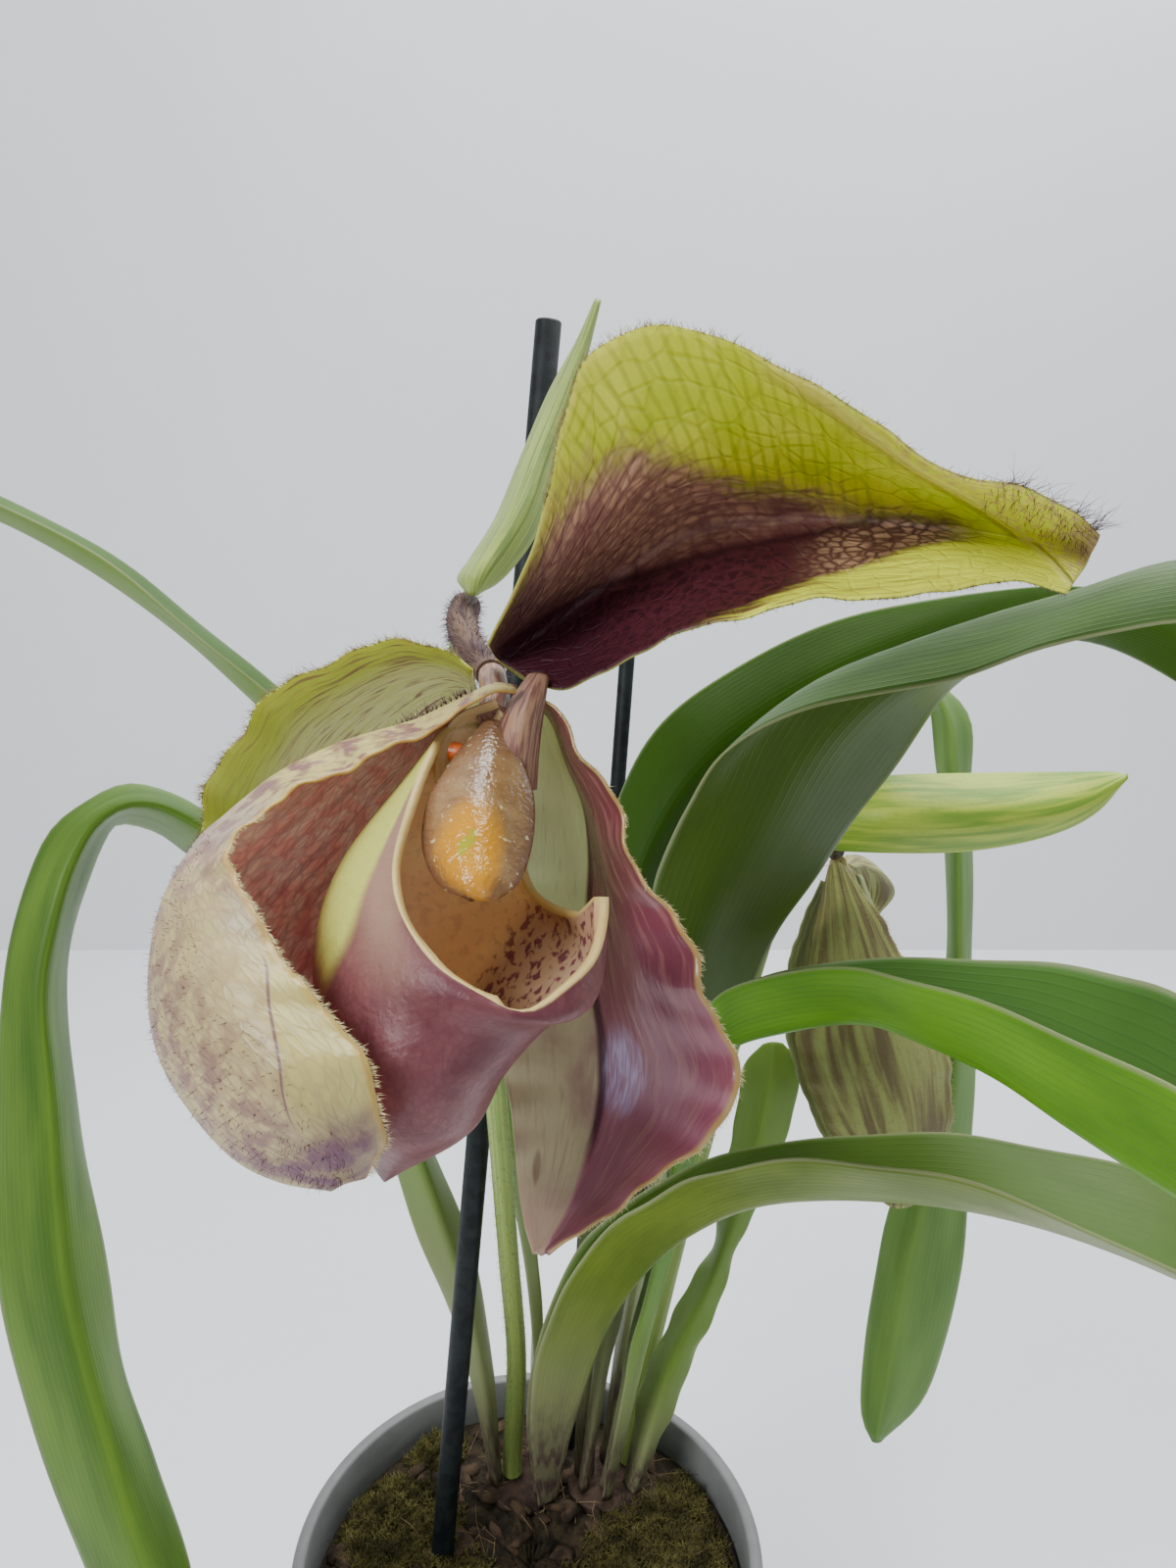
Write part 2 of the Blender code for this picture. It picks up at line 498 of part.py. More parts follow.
def ring_points(ring, count):
    """Points round an ellipse given by its right, front, left and back points."""
    right, front, left, back = (np.array(seen(*point)) for point in ring)
    middle = (right + front + left + back) / 4
    points = []
    for index in range(count):
        angle = 2 * math.pi * index / count
        points.append(middle + (right - left) / 2 * math.cos(angle) + (front - back) / 2 * math.sin(angle))
    return points


def closed_line(points, count):
    """Evenly spaced points round a closed smooth loop, from its first point."""
    knots = [np.array(tuple(point)) for point in points]
    wrapped = knots[-3:] + knots + knots[:4]
    line = smooth_line(wrapped, LOOP_SAMPLES * len(knots))
    start = int(np.argmin([np.linalg.norm(point - knots[0]) for point in line[:len(line) // 2]]))
    tail = len(line) // 2
    end = tail + int(np.argmin([np.linalg.norm(point - knots[0]) for point in line[tail:]]))
    return smooth_line(line[start:end + 1:LOOP_STEP], count + 1)[:-1]


def pouch_grid(rim, rings, toe, rows, columns):
    """Grid of a slipper: rows run from the rim to the toe, columns run round it."""
    loops = [closed_line([seen(*point) for point in rim], columns)]
    loops += [ring_points(ring, columns) for ring in rings]
    toe_point = np.array(seen(*toe))
    grid = np.zeros((rows + 1, columns, 3))
    for column in range(columns):
        route = [loop[column] for loop in loops]
        end = toe_point + (route[-1] - toe_point) * TOE_SHARE
        grid[:, column] = smooth_line(route + [end], rows + 1)
    return grid, toe_point


def add_pouch(name, rim, rings, toe, rows, columns, thickness, finish_name):
    """Open slipper with a wall of even thickness and a closed toe."""
    grid, toe_point = pouch_grid(rim, rings, toe, rows, columns)
    normals = grid_normals(grid, closed=True)
    outward = grid[rows // 2] - grid[rows // 2].mean(axis=0)
    if (normals[rows // 2] * outward).sum() < 0:
        normals = -normals
    inner = grid - normals * thickness
    toe_inward = inner[rows].mean(axis=0) - grid[rows].mean(axis=0)
    vertices = list(grid.reshape(-1, 3)) + [toe_point]
    lower = len(vertices)
    vertices += list(inner.reshape(-1, 3)) + [toe_point + toe_inward * TOE_WALL_FACTOR]
    faces = []

    def at(row, column):
        return row * columns + column % columns

    pole = lower - 1
    for row in range(rows):
        for column in range(columns):
            one, two = at(row, column), at(row + 1, column)
            three, four = at(row + 1, column + 1), at(row, column + 1)
            for triple in ((one, two, three), (one, three, four)):
                faces.append(triple)
                faces.append(tuple(index + lower for index in reversed(triple)))
    for column in range(columns):
        last, following = at(rows, column), at(rows, column + 1)
        faces.append((last, pole, following))
        faces.append((following + lower, pole + lower, last + lower))
        first, second = at(0, column), at(0, column + 1)
        faces.append((second, second + lower, first + lower))
        faces.append((second, first + lower, first))
    thing = add_object(name, vertices, faces, finish_name)
    shell = bmesh.new()
    shell.from_mesh(thing.data)
    bmesh.ops.recalc_face_normals(shell, faces=shell.faces)
    if shell.calc_volume(signed=True) < 0:
        bmesh.ops.reverse_faces(shell, faces=shell.faces)
    shell.to_mesh(thing.data)
    shell.free()
    return thing


def add_rod(name, points, radii, sides, finish_name):
    """Closed rod of given radii along a line of points."""
    line = np.array([tuple(point) for point in points])
    along = np.gradient(line, axis=0)
    along /= np.linalg.norm(along, axis=1, keepdims=True)
    side = np.cross(along[0], (0.0, 1.0, 0.0))
    vertices = []
    for point, direction, radius in zip(line, along, radii):
        side = side - direction * np.dot(side, direction)
        side /= np.linalg.norm(side)
        other = np.cross(direction, side)
        for index in range(sides):
            angle = 2 * math.pi * index / sides
            vertices.append(point + radius * (math.cos(angle) * side + math.sin(angle) * other))
    faces = []
    for row in range(len(line) - 1):
        for index in range(sides):
            following = (index + 1) % sides
            one, two = row * sides + index, row * sides + following
            three, four = two + sides, one + sides
            faces.append((one, two, three, four))
    faces.append(tuple(reversed(range(sides))))
    top = (len(line) - 1) * sides
    faces.append(tuple(top + index for index in range(sides)))
    return add_object(name, vertices, faces, finish_name)


def add_turned(name, profile, facets, finish_name):
    """Solid turned round the Z axis from a closed profile of radius and height."""
    vertices = []
    for facet in range(facets):
        angle = 2 * math.pi * facet / facets
        for radius, height in profile:
            vertices.append((radius * math.cos(angle), radius * math.sin(angle), height))
    count = len(profile)
    faces = []
    for facet in range(facets):
        following = (facet + 1) % facets
        for index in range(count - 1):
            one, two = facet * count + index, following * count + index
            faces.append((one, two, two + 1, one + 1))
    faces.append(tuple(facet * count for facet in reversed(range(facets))))
    faces.append(tuple(facet * count + count - 1 for facet in range(facets)))
    thing = add_object(name, vertices, faces, finish_name)
    return thing


def cut(thing, cutter):
    """Cut a cutter's shape out of an object."""
    cutter.hide_render = True
    cutter.display_type = "WIRE"
    modifier = thing.modifiers.new("cut_" + cutter.name, "BOOLEAN")
    modifier.operation = "DIFFERENCE"
    modifier.object = cutter


def add_pot():
    """Plain grey pot with a turned-out rim band."""
    wall_below_band = POT_RIM_RADIUS - POT_RIM_STEP
    band_foot = POT_HEIGHT - POT_RIM_BAND
    slope = (wall_below_band - POT_BASE_RADIUS) / band_foot
    floor_radius = POT_BASE_RADIUS - POT_WALL + slope * POT_FLOOR
    add_turned("pot", (
        (POT_BASE_RADIUS, 0.0),
        (wall_below_band, band_foot),
        (POT_RIM_RADIUS, band_foot),
        (POT_RIM_RADIUS, POT_HEIGHT),
        (wall_below_band - POT_WALL, POT_HEIGHT),
        (wall_below_band - POT_WALL, band_foot),
        (floor_radius, POT_FLOOR),
    ), POT_FACETS, "pot_grey")


def mix_height(radius_share, angle):
    """Height of the potting mix at a share of its radius and an angle."""
    crown = MIX_CROWN * (1 - radius_share ** 2)
    first = math.sin(MIX_LUMPS_ROUND[0] * angle + MIX_LUMPS_INWARD[0] * radius_share)
    second = math.cos(MIX_LUMPS_INWARD[1] * radius_share - MIX_LUMPS_ROUND[1] * angle)
    calm = 1 - radius_share ** MIX_CALM_POWER
    return POT_HEIGHT - MIX_DEPTH_BELOW_RIM + crown + MIX_ROUGHNESS * first * second * calm


def add_mix(holes):
    """Potting mix that fills the pot, with a plain hole for each stem and stake."""
    wall_below_band = POT_RIM_RADIUS - POT_RIM_STEP
    band_foot = POT_HEIGHT - POT_RIM_BAND
    slope = (wall_below_band - POT_BASE_RADIUS) / band_foot
    bottom = POT_FLOOR + CLEARANCE
    bottom_radius = POT_BASE_RADIUS - POT_WALL + slope * bottom - 2 * CLEARANCE
    top_radius = bottom_radius + slope * (POT_HEIGHT - MIX_DEPTH_BELOW_RIM - bottom)
    vertices = []
    for ring in range(MIX_RINGS, 0, -1):
        share = ring / MIX_RINGS
        for facet in range(MIX_FACETS):
            angle = 2 * math.pi * facet / MIX_FACETS
            radius = top_radius * share
            vertices.append((radius * math.cos(angle), radius * math.sin(angle), mix_height(share, angle)))
    centre = len(vertices)
    vertices.append((0.0, 0.0, mix_height(0.0, 0.0)))
    foot = len(vertices)
    for facet in range(MIX_FACETS):
        angle = 2 * math.pi * facet / MIX_FACETS
        vertices.append((bottom_radius * math.cos(angle), bottom_radius * math.sin(angle), bottom))
    faces = []
    for facet in range(MIX_FACETS):
        following = (facet + 1) % MIX_FACETS
        faces.append((foot + facet, foot + following, following, facet))
        for ring in range(MIX_RINGS - 1):
            here, inside = ring * MIX_FACETS, (ring + 1) * MIX_FACETS
            faces.append((here + facet, here + following, inside + following))
            faces.append((here + facet, inside + following, inside + facet))
        last = (MIX_RINGS - 1) * MIX_FACETS
        faces.append((last + facet, last + following, centre))
    faces.append(tuple(foot + facet for facet in reversed(range(MIX_FACETS))))
    mix = add_object("potting_mix", vertices, faces, "bark_mix")
    for name, foot_point, top_point, radius in holes:
        low = Vector(foot_point)
        high = Vector(top_point)
        axis = (high - low).normalized()
        ends = [low - axis * STEM_SINK, low + axis * STEM_SINK]
        cutter = add_rod("hole_" + name, ends, [radius + STEM_HOLE_SPARE] * 2, HOLE_SIDES, "bark_mix")
        cut(mix, cutter)
    return mix


def add_stake(name, foot_point, top_point, radius):
    """Straight round stake that stands in its hole."""
    low, high = Vector(foot_point), Vector(top_point)
    axis = (high - low).normalized()
    start = low - axis * (STEM_SINK - CLEARANCE)
    add_rod(name, [start, high], [radius, radius], STAKE_SIDES, "stake_black")


def add_crown(name, place):
    """Short rounded base of one growth, which stands in the mix."""
    low = CROWN_TOP - CROWN_DEPTH
    heights = [low + CROWN_DEPTH * share for share in CROWN_HEIGHT_SHARES]
    heights += [CROWN_TOP - SEAT_GAP, CROWN_TOP]
    points = [(place[0], place[1], height) for height in heights]
    radii = [CROWN_RADIUS * share for share in CROWN_RADIUS_SHARES]
    add_rod(name, points, radii, CROWN_SIDES, "stem_brown")


def add_stem(name, route, radius, end_radius, count, finish_name, stands=False):
    """Stem of a round section along a picked route."""
    points = [seen(*point) for point in route]
    if stands:
        points = standing(route)
        points.insert(1, points[0] + Vector((0.0, 0.0, 2 * radius)))
    line = smooth_line(points, count)
    radii = np.linspace(radius, end_radius, count)
    add_rod(name, line, radii, STEM_SIDES, finish_name)


def build():
    """Make every piece of the plant and its pot."""
    clear_scene()
    add_pot()
    mix_top = POT_HEIGHT - MIX_DEPTH_BELOW_RIM
    holes = (
        ("stake_front", STAKE_FRONT_FOOT, STAKE_FRONT_TOP, STAKE_FRONT_RADIUS),
        ("stake_back", STAKE_BACK_FOOT, STAKE_BACK_TOP, STAKE_BACK_RADIUS),
        ("crown_left", (*CROWN_LEFT_PLACE, mix_top), (*CROWN_LEFT_PLACE, HOLE_TOP), CROWN_RADIUS),
        ("crown_right", (*CROWN_RIGHT_PLACE, mix_top), (*CROWN_RIGHT_PLACE, HOLE_TOP), CROWN_RADIUS),
    )
    add_mix(holes)
    add_stake("stake_front", STAKE_FRONT_FOOT, STAKE_FRONT_TOP, STAKE_FRONT_RADIUS)
    add_stake("stake_back", STAKE_BACK_FOOT, STAKE_BACK_TOP, STAKE_BACK_RADIUS)
    add_crown("crown_left", CROWN_LEFT_PLACE)
    add_crown("crown_right", CROWN_RIGHT_PLACE)
    for name, rails in LEAF_RAILS.items():
        add_blade(name, rails, LEAF_ROWS, LEAF_COLUMNS, LEAF_THICKNESS, "leaf_green", creased=True)
    add_stem("scape_main", SCAPE_MAIN, SCAPE_RADIUS, SCAPE_RADIUS * SCAPE_TAPER, SCAPE_ROWS,
             "leaf_green", stands=True)
    add_stem("ovary_main", OVARY_MAIN, OVARY_RADIUS, OVARY_RADIUS * OVARY_TAPER, OVARY_ROWS,
             "stem_brown")
    for name, route in (("column_main", COLUMN_MAIN), ("column_second", COLUMN_SECOND)):
        add_stem(name, route, COLUMN_RADIUS, COLUMN_RADIUS, SHORT_STEM_ROWS, "column_amber")
    add_stem("scape_second", SCAPE_SECOND, SCAPE_RADIUS, SCAPE_RADIUS * SECOND_SCAPE_TAPER,
             SCAPE_ROWS, "leaf_green", stands=True)
    add_stem("ovary_second", OVARY_SECOND, OVARY_RADIUS * SECOND_OVARY_START,
             OVARY_RADIUS * SECOND_OVARY_END, SHORT_STEM_ROWS, "stem_brown")
    petal = (PETAL_ROWS, PETAL_COLUMNS, PETAL_THICKNESS)
    add_blade("bract_main", BRACT_MAIN, BRACT_ROWS, NARROW_COLUMNS, PETAL_THICKNESS, "leaf_green")
    add_blade("dorsal_sepal", DORSAL_SEPAL, *petal, "sepal_green")
    add_blade("synsepal", SYNSEPAL, *petal, "sepal_green")
    add_blade("petal_left", PETAL_LEFT, PETAL_LEFT_ROWS, PETAL_COLUMNS, PETAL_THICKNESS,
              "petal_mauve")
    add_blade("petal_right", PETAL_RIGHT, *petal, "petal_mauve")
    add_blade("staminode", STAMINODE, STAMINODE_ROWS, NARROW_COLUMNS, PETAL_THICKNESS,
              "column_amber")
    pouch = (POUCH_ROWS, POUCH_COLUMNS, POUCH_THICKNESS)
    add_pouch("pouch", POUCH_RIM, POUCH_RINGS, POUCH_TOE, *pouch, "pouch_maroon")
    small = (SECOND_ROWS, NARROW_COLUMNS, PETAL_THICKNESS)
    add_blade("bract_second", BRACT_SECOND, *small, "leaf_green")
    add_blade("sepal_back_second", SEPAL_BACK_SECOND, *small, "sepal_green")
    add_blade("petal_left_second", PETAL_LEFT_SECOND, *small, "petal_mauve")
    add_blade("petal_right_second", PETAL_RIGHT_SECOND, *small, "petal_mauve")
    add_blade("dorsal_second", DORSAL_SECOND, *small, "sepal_green")
    add_pouch("pouch_second", POUCH_RIM_SECOND, POUCH_RINGS_SECOND, POUCH_TOE_SECOND,
              SECOND_POUCH_ROWS, SECOND_POUCH_COLUMNS, POUCH_THICKNESS, "pouch_maroon")


build()
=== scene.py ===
"""Slipper orchid in its pot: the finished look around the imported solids.

Every organ is one smooth blade, cup or rod laid over routes that are picked in the photograph's view
as a column, a row and a depth in millimetres, and then dressed with veins, mottling and real hairs.
"""
import logging
import math
from dataclasses import dataclass, field
from enum import Enum

import bmesh
import bpy
import numpy as np
from mathutils import Matrix, Vector


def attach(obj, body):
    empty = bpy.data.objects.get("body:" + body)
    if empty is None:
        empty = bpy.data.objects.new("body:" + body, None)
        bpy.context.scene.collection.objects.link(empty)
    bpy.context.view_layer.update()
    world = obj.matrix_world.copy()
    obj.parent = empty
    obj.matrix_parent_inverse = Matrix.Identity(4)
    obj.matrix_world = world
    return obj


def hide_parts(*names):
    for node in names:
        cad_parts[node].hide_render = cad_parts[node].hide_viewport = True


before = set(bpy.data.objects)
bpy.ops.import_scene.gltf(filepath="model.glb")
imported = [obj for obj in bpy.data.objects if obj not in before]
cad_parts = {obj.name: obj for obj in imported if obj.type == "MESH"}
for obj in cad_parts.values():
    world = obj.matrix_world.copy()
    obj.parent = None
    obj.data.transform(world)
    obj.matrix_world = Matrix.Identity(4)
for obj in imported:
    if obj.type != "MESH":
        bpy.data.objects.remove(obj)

LOG = logging.getLogger("orchid")
ROOT = "root"

Point = tuple[float, float, float]
Rail = tuple[Point, ...]
Colour = tuple[float, float, float]
Hairs = tuple[np.ndarray, np.ndarray]

# The photograph's view: 1200 columns by 1600 rows, depths in millimetres
VIEW_EYE = (0.0154, -0.240, 0.376)
VIEW_TILT = math.radians(15.6)
VIEW_FOCAL = 1202.0
VIEW_ROWS = 1600.0
VIEW_MIDDLE = (600.0, 800.0)
SENSOR = 36.0

# Seats shared with the solids, in metres
CROWN_TOP = 0.0978
SEAT_GAP = 0.0005

# Fold of a leaf: what the rounded keel loses in height, and the rows over which the tip closes
KEEL_LOSS = 0.3
TAPER_ROWS = 12

# Leaves: far or left margin, keel, near or right margin, each from the base to the tip
LEAF_RAILS = {
    "leaf_front_low": (
        ((545, 1515, 326), (537, 1440, 314), (552, 1359, 300), (590, 1275, 284), (642, 1225, 268),
         (748, 1175, 248), (918, 1158, 236), (1063, 1170, 228), (1200, 1204, 222), (1330, 1262, 214),
         (1430, 1345, 206)),
        ((566, 1520, 324), (590, 1440, 312), (620, 1359, 298), (660, 1300, 280), (710, 1259, 262),
         (790, 1229, 240), (942, 1229, 222), (1063, 1252, 210), (1200, 1301, 200), (1320, 1368, 196),
         (1432, 1352, 204)),
        ((549, 1513, 320), (541, 1440, 307), (556, 1360, 293), (597, 1278, 276), (655, 1232, 256),
         (763, 1185, 226), (912, 1194, 206), (1063, 1233, 194), (1200, 1296, 186), (1325, 1358, 188),
         (1428, 1350, 202)),
    ),
    "leaf_right_middle": (
        ((612, 1500, 328), (640, 1380, 314), (672, 1240, 294), (694, 1110, 268), (716, 1040, 254),
         (760, 1004, 243), (840, 984, 234), (944, 980, 218), (1059, 980, 198), (1136, 994, 184),
         (1200, 1013, 172), (1320, 1090, 156), (1400, 1200, 148)),
        ((624, 1500, 324), (658, 1380, 308), (696, 1240, 285), (718, 1140, 265), (742, 1075, 242),
         (800, 1055, 226), (880, 1046, 214), (950, 1070, 200), (1021, 1105, 187), (1100, 1160, 174),
         (1200, 1225, 162), (1310, 1290, 152), (1402, 1212, 146)),
        ((614, 1498, 322), (644, 1380, 305), (678, 1240, 279), (702, 1110, 252), (724, 1024, 234),
         (780, 997, 220), (868, 990, 204), (925, 998, 193), (983, 1013, 184), (1059, 1044, 172),
         (1200, 1113, 152), (1310, 1180, 145), (1398, 1206, 144)),
    ),
    "leaf_right_short": (
        ((636, 1500, 331), (664, 1385, 326), (700, 1320, 321), (728, 1262, 316), (742, 1180, 309),
         (755, 1112, 304), (762, 1083, 300), (778, 1066, 298)),
        ((646, 1500, 325), (684, 1395, 317), (724, 1310, 310), (752, 1235, 304), (772, 1170, 298),
         (785, 1110, 294), (788, 1080, 295), (789, 1063, 296)),
        ((654, 1508, 329), (692, 1425, 322), (730, 1335, 314), (765, 1245, 307), (800, 1170, 301),
         (814, 1106, 298), (811, 1079, 297), (799, 1065, 297)),
    ),
    "leaf_right_broad": (
        ((590, 1500, 328), (614, 1330, 308), (638, 1180, 285), (654, 1010, 260), (668, 900, 234),
         (700, 825, 214), (734, 766, 200), (814, 730, 188), (900, 709, 182), (983, 692, 177),
         (1060, 664, 173), (1130, 645, 170), (1200, 632, 166), (1310, 640, 160), (1390, 690, 156)),
        ((592, 1500, 327), (619, 1330, 306), (647, 1180, 284), (674, 1015, 260), (700, 905, 234),
         (738, 815, 216), (775, 750, 206), (845, 694, 198), (930, 658, 190), (1021, 627, 184),
         (1100, 604, 179), (1200, 575, 175), (1310, 575, 166), (1391, 687, 157)),
        ((595, 1500, 326), (625, 1330, 305), (661, 1180, 284), (704, 1022, 261), (748, 905, 236),
         (791, 818, 219), (845, 755, 209), (900, 712, 201), (970, 680, 194), (1050, 645, 187),
         (1130, 617, 182), (1200, 598, 178), (1310, 600, 168), (1392, 688, 158)),
        ((601, 1500, 329), (635, 1330, 310), (677, 1180, 290), (758, 1020, 269), (835, 890, 246),
         (890, 808, 231), (935, 748, 218), (975, 703, 208), (1010, 680, 201), (1080, 652, 193),
         (1150, 628, 188), (1210, 615, 185), (1315, 622, 174), (1393, 691, 159)),
    ),
    "leaf_right_arch": (
        ((586, 1480, 333), (592, 1300, 320), (598, 1100, 302), (604, 940, 284), (629, 814, 268),
         (676, 737, 258), (761, 676, 250), (875, 627, 242), (1021, 602, 232), (1090, 598, 228),
         (1160, 606, 223), (1240, 640, 218), (1334, 788, 214)),
        ((596, 1480, 329), (606, 1300, 314), (616, 1100, 296), (632, 960, 279), (668, 850, 264),
         (720, 775, 254), (800, 715, 247), (900, 665, 240), (985, 635, 235), (1060, 625, 231),
         (1130, 628, 227), (1215, 655, 221), (1336, 792, 215)),
        ((606, 1482, 333), (620, 1300, 322), (640, 1100, 306), (672, 980, 292), (720, 890, 280),
         (770, 820, 270), (840, 760, 262), (920, 705, 254), (985, 674, 248), (1045, 656, 243),
         (1110, 656, 237), (1200, 693, 229), (1332, 794, 217)),
    ),
    "leaf_back_droop": (
        ((612, 1475, 339), (640, 1300, 340), (700, 1050, 341), (790, 830, 342), (880, 690, 342),
         (925, 668, 340), (948, 700, 338), (955, 780, 336), (964, 868, 335), (962, 1000, 333),
         (950, 1130, 331), (909, 1231, 329), (895, 1289, 328), (882, 1366, 327), (880, 1448, 326),
         (890, 1470, 325)),
        ((618, 1472, 335), (650, 1300, 334), (712, 1050, 333), (802, 835, 334), (885, 705, 334),
         (934, 690, 332), (966, 730, 330), (974, 800, 328), (978, 900, 327), (976, 1050, 325),
         (966, 1150, 323), (940, 1231, 321), (924, 1300, 320), (910, 1380, 320), (899, 1440, 321),
         (894, 1471, 324)),
        ((624, 1476, 339), (662, 1302, 340), (728, 1056, 341), (818, 850, 342), (898, 720, 342),
         (950, 700, 342), (984, 730, 341), (990, 800, 339), (993, 900, 338), (994, 1050, 335),
         (990, 1162, 332), (986, 1231, 330), (980, 1300, 329), (964, 1374, 328), (940, 1431, 327),
         (899, 1470, 325)),
    ),
    "leaf_left_droop": (
        ((500, 1508, 333), (478, 1400, 323), (455, 1328, 318), (424, 1249, 312), (385, 1140, 304),
         (330, 1000, 296), (260, 880, 288), (199, 819, 280), (146, 800, 273), (120, 803, 269),
         (89, 822, 264), (57, 848, 260), (31, 895, 256), (10, 958, 252), (0, 1040, 249),
         (-8, 1170, 246), (0, 1303, 244), (16, 1392, 243), (63, 1539, 242), (110, 1660, 241),
         (170, 1770, 240)),
        ((506, 1508, 329), (492, 1400, 318), (474, 1320, 312), (448, 1240, 305), (412, 1140, 297),
         (356, 1000, 288), (285, 900, 280), (215, 850, 271), (160, 822, 264), (128, 822, 260),
         (98, 840, 256), (74, 880, 252), (55, 940, 248), (42, 1010, 244), (50, 1120, 240),
         (57, 1230, 238), (68, 1324, 236), (89, 1408, 235), (120, 1512, 234), (160, 1640, 234),
         (178, 1772, 239)),
        ((512, 1510, 333), (504, 1400, 325), (492, 1320, 321), (468, 1240, 315), (432, 1150, 309),
         (374, 1020, 302), (300, 930, 296), (196, 877, 288), (157, 848, 281), (118, 838, 275),
         (101, 858, 270), (82, 915, 266), (70, 980, 262), (70, 1050, 259), (84, 1136, 256),
         (99, 1240, 253), (110, 1314, 252), (125, 1397, 250), (157, 1491, 248), (200, 1620, 246),
         (186, 1770, 241)),
    ),
    "leaf_left_high": (
        ((546, 1478, 342), (545, 1380, 338), (541, 1270, 334), (517, 1130, 326), (474, 975, 314),
         (398, 812, 294), (278, 696, 270), (199, 629, 262), (99, 560, 255), (0, 508, 249),
         (-110, 470, 244), (-220, 470, 238), (-300, 520, 232)),
        ((551, 1478, 338), (546, 1380, 330), (534, 1275, 321), (503, 1135, 310), (456, 990, 297),
         (384, 832, 279), (260, 716, 258), (184, 647, 251), (86, 577, 244), (-8, 527, 239),
         (-112, 492, 234), (-214, 491, 230), (-298, 523, 231)),
        ((556, 1478, 342), (555, 1380, 330), (549, 1275, 317), (522, 1135, 303), (472, 985, 289),
         (394, 822, 270), (270, 703, 248), (192, 637, 241), (93, 566, 235), (-4, 515, 230),
         (-111, 479, 226), (-217, 478, 226), (-297, 521, 233)),
    ),
}

# Leaves: lit, deep, under and base colour, where they differ from the usual ones of the finish; these
# per-leaf colours are partly tint and partly painted light, brighter for backlit leaves and darker for
# leaves and undersides in shade
LEAF_TINTS_AND_PAINTED_LIGHT = {
    "leaf_front_low": ((0.165, 0.230, 0.030), (0.105, 0.160, 0.020), (0.058, 0.128, 0.018),
                       (0.340, 0.340, 0.200)),
    "leaf_right_middle": ((0.125, 0.310, 0.008), (0.075, 0.205, 0.008), (0.062, 0.135, 0.042)),
    "leaf_right_short": ((0.080, 0.185, 0.025), (0.035, 0.095, 0.015)),
    "leaf_right_broad": ((0.052, 0.120, 0.014), (0.028, 0.068, 0.009), (0.058, 0.098, 0.008)),
    "leaf_right_arch": ((0.036, 0.098, 0.012), (0.018, 0.052, 0.007), (0.045, 0.105, 0.008)),
    "leaf_back_droop": ((0.150, 0.270, 0.060), (0.090, 0.185, 0.038), (0.165, 0.275, 0.055)),
    "leaf_left_droop": ((0.120, 0.225, 0.028), (0.058, 0.130, 0.018), (0.135, 0.235, 0.030)),
    "leaf_left_high": ((0.065, 0.150, 0.016), (0.034, 0.090, 0.012)),
}
LEAF_STAINS = {"leaf_front_low": {"stain_reach": 0.18}, "leaf_left_droop": {"stain_reach": 0.09}}
LEAF_LEAST_WIDTHS = {"leaf_left_high": 0.006}

# Main flower: each sepal and petal as rails across it, each rail from the hub to the tip
DORSAL_SEPAL = (
    ((498, 657, 154), (535, 580, 148), (560, 500, 142), (575, 430, 137), (597, 367, 133),
     (651, 336, 131), (709, 338, 130), (762, 356, 130), (816, 385, 130), (896, 434, 130),
     (977, 485, 131), (1040, 497, 134), (1097, 523, 138), (1122, 545, 141)),
    ((503, 667, 157), (560, 600, 154), (610, 530, 150), (660, 470, 147), (720, 440, 145),
     (800, 440, 144), (880, 465, 143), (960, 495, 142), (1040, 520, 142), (1118, 555, 142)),
    ((511, 676, 158), (570, 630, 162), (640, 580, 164), (720, 540, 164), (800, 530, 162),
     (880, 530, 158), (960, 538, 153), (1040, 550, 148), (1112, 568, 143)),
    ((524, 685, 156), (590, 668, 157), (650, 632, 156), (720, 600, 154), (800, 582, 152),
     (880, 572, 149), (960, 565, 146), (1040, 573, 144), (1104, 582, 142)),
    ((538, 694, 153), (575, 703, 149), (620, 684, 146), (651, 666, 144), (700, 644, 141),
     (762, 628, 139), (829, 612, 137), (896, 610, 136), (963, 604, 136), (1030, 592, 138),
     (1088, 606, 140)),
)
SYNSEPAL = (
    ((482, 683, 158), (460, 666, 157), (400, 655, 152), (350, 668, 150), (310, 690, 149),
     (270, 715, 149), (240, 755, 150), (215, 800, 152), (203, 850, 154), (200, 920, 157),
     (215, 1000, 161), (250, 1070, 165), (300, 1130, 168)),
    ((481, 693, 160), (450, 702, 166), (390, 730, 169), (330, 790, 173), (300, 870, 176),
     (290, 950, 177), (300, 1040, 175), (322, 1120, 171)),
    ((486, 704, 162), (475, 745, 170), (440, 810, 176), (410, 890, 180), (392, 970, 181),
     (380, 1050, 179), (352, 1125, 173)),
    ((494, 714, 164), (516, 765, 169), (505, 840, 174), (488, 920, 177), (470, 1000, 178),
     (440, 1070, 177), (370, 1130, 173)),
)
